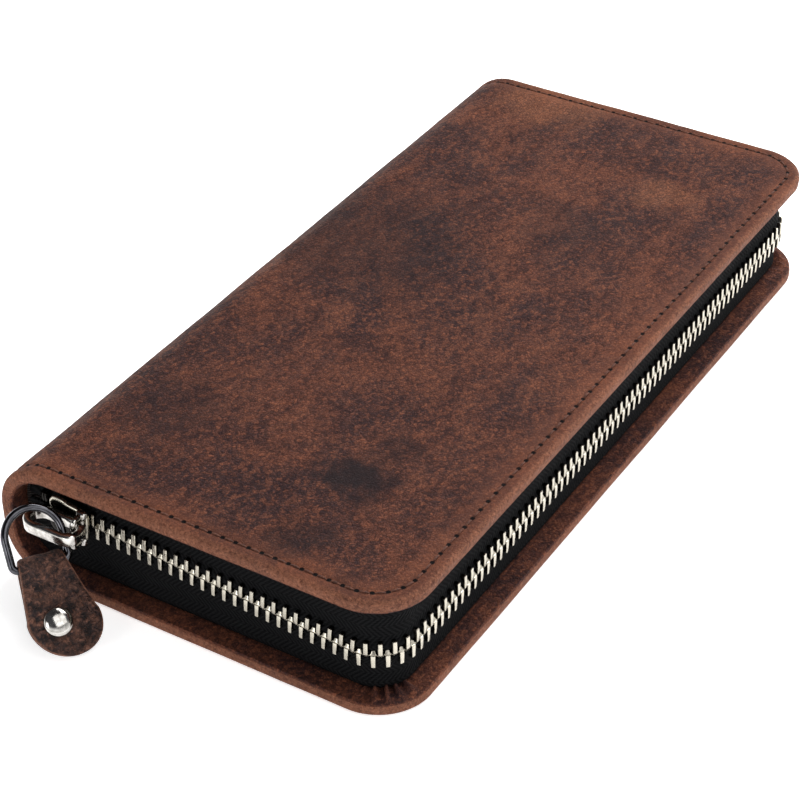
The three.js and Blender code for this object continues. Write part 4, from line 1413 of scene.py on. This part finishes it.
def build_light():
    world = bpy.data.worlds.new("studio")
    bpy.context.scene.world = world
    world.use_nodes = True
    tree = world.node_tree
    sky = tree.nodes.new("ShaderNodeSeparateXYZ")
    tree.links.new(tree.nodes.new("ShaderNodeTexCoord").outputs["Generated"], sky.inputs[0])
    ramp = tree.nodes.new("ShaderNodeValToRGB")
    ramp.color_ramp.elements[0].position = 0.3
    ramp.color_ramp.elements[0].color = (1, 1, 1, 1)
    ramp.color_ramp.elements[1].position = 0.5
    ramp.color_ramp.elements[1].color = (0.05, 0.05, 0.055, 1)
    tree.links.new(sky.outputs["Z"], ramp.inputs["Fac"])
    tree.links.new(ramp.outputs["Color"], tree.nodes["Background"].inputs["Color"])
    tree.nodes["Background"].inputs["Strength"].default_value = 1.15
    lamps = (
        ("key", (0.4, -0.1, 0.58), 0.6, 7.7),
        ("fill", (-0.25, -0.6, 0.75), 0.7, 3.0),
        ("left", (-0.8, 0.1, 0.35), 0.3, 1.2),
    )
    for name, place, size, power in lamps:
        data = bpy.data.lights.new(name, "AREA")
        data.shape = "SQUARE"
        data.size = size
        data.energy = power
        lamp = bpy.data.objects.new(name, data)
        lamp.location = place
        lamp.rotation_euler = (-Vector(place)).to_track_quat("-Z", "Y").to_euler()
        bpy.context.scene.collection.objects.link(lamp)


CAMERA_AZIMUTH = -57.87
CAMERA_ELEVATION = 36.16
CAMERA_ROLL = -0.91
CAMERA_AWAY = 0.5057
CAMERA_AIM = Vector((-5.40, 7.86, 1.04)) * MM
CAMERA_LENS = 100.9


def build_camera():
    azimuth = math.radians(CAMERA_AZIMUTH)
    elevation = math.radians(CAMERA_ELEVATION)
    back = Vector((
        math.sin(azimuth) * math.cos(elevation),
        -math.cos(azimuth) * math.cos(elevation),
        math.sin(elevation),
    ))
    data = bpy.data.cameras.new("camera")
    data.lens = CAMERA_LENS
    data.sensor_width = 36.0
    data.clip_start = 0.01
    data.clip_end = 20.0
    camera = bpy.data.objects.new("camera", data)
    camera.location = CAMERA_AIM + back * CAMERA_AWAY
    turn = (-back).to_track_quat("-Z", "Y").to_matrix().to_4x4()
    roll = Matrix.Rotation(math.radians(CAMERA_ROLL), 4, "Z")
    camera.rotation_euler = (turn @ roll).to_euler()
    bpy.context.scene.collection.objects.link(camera)
    bpy.context.scene.camera = camera


build_camera()
build_covers()
build_zip()
build_pull()
build_inside()
build_floor()
build_light()
bpy.context.scene.view_settings.view_transform = "Standard"

bpy.context.view_layer.update()
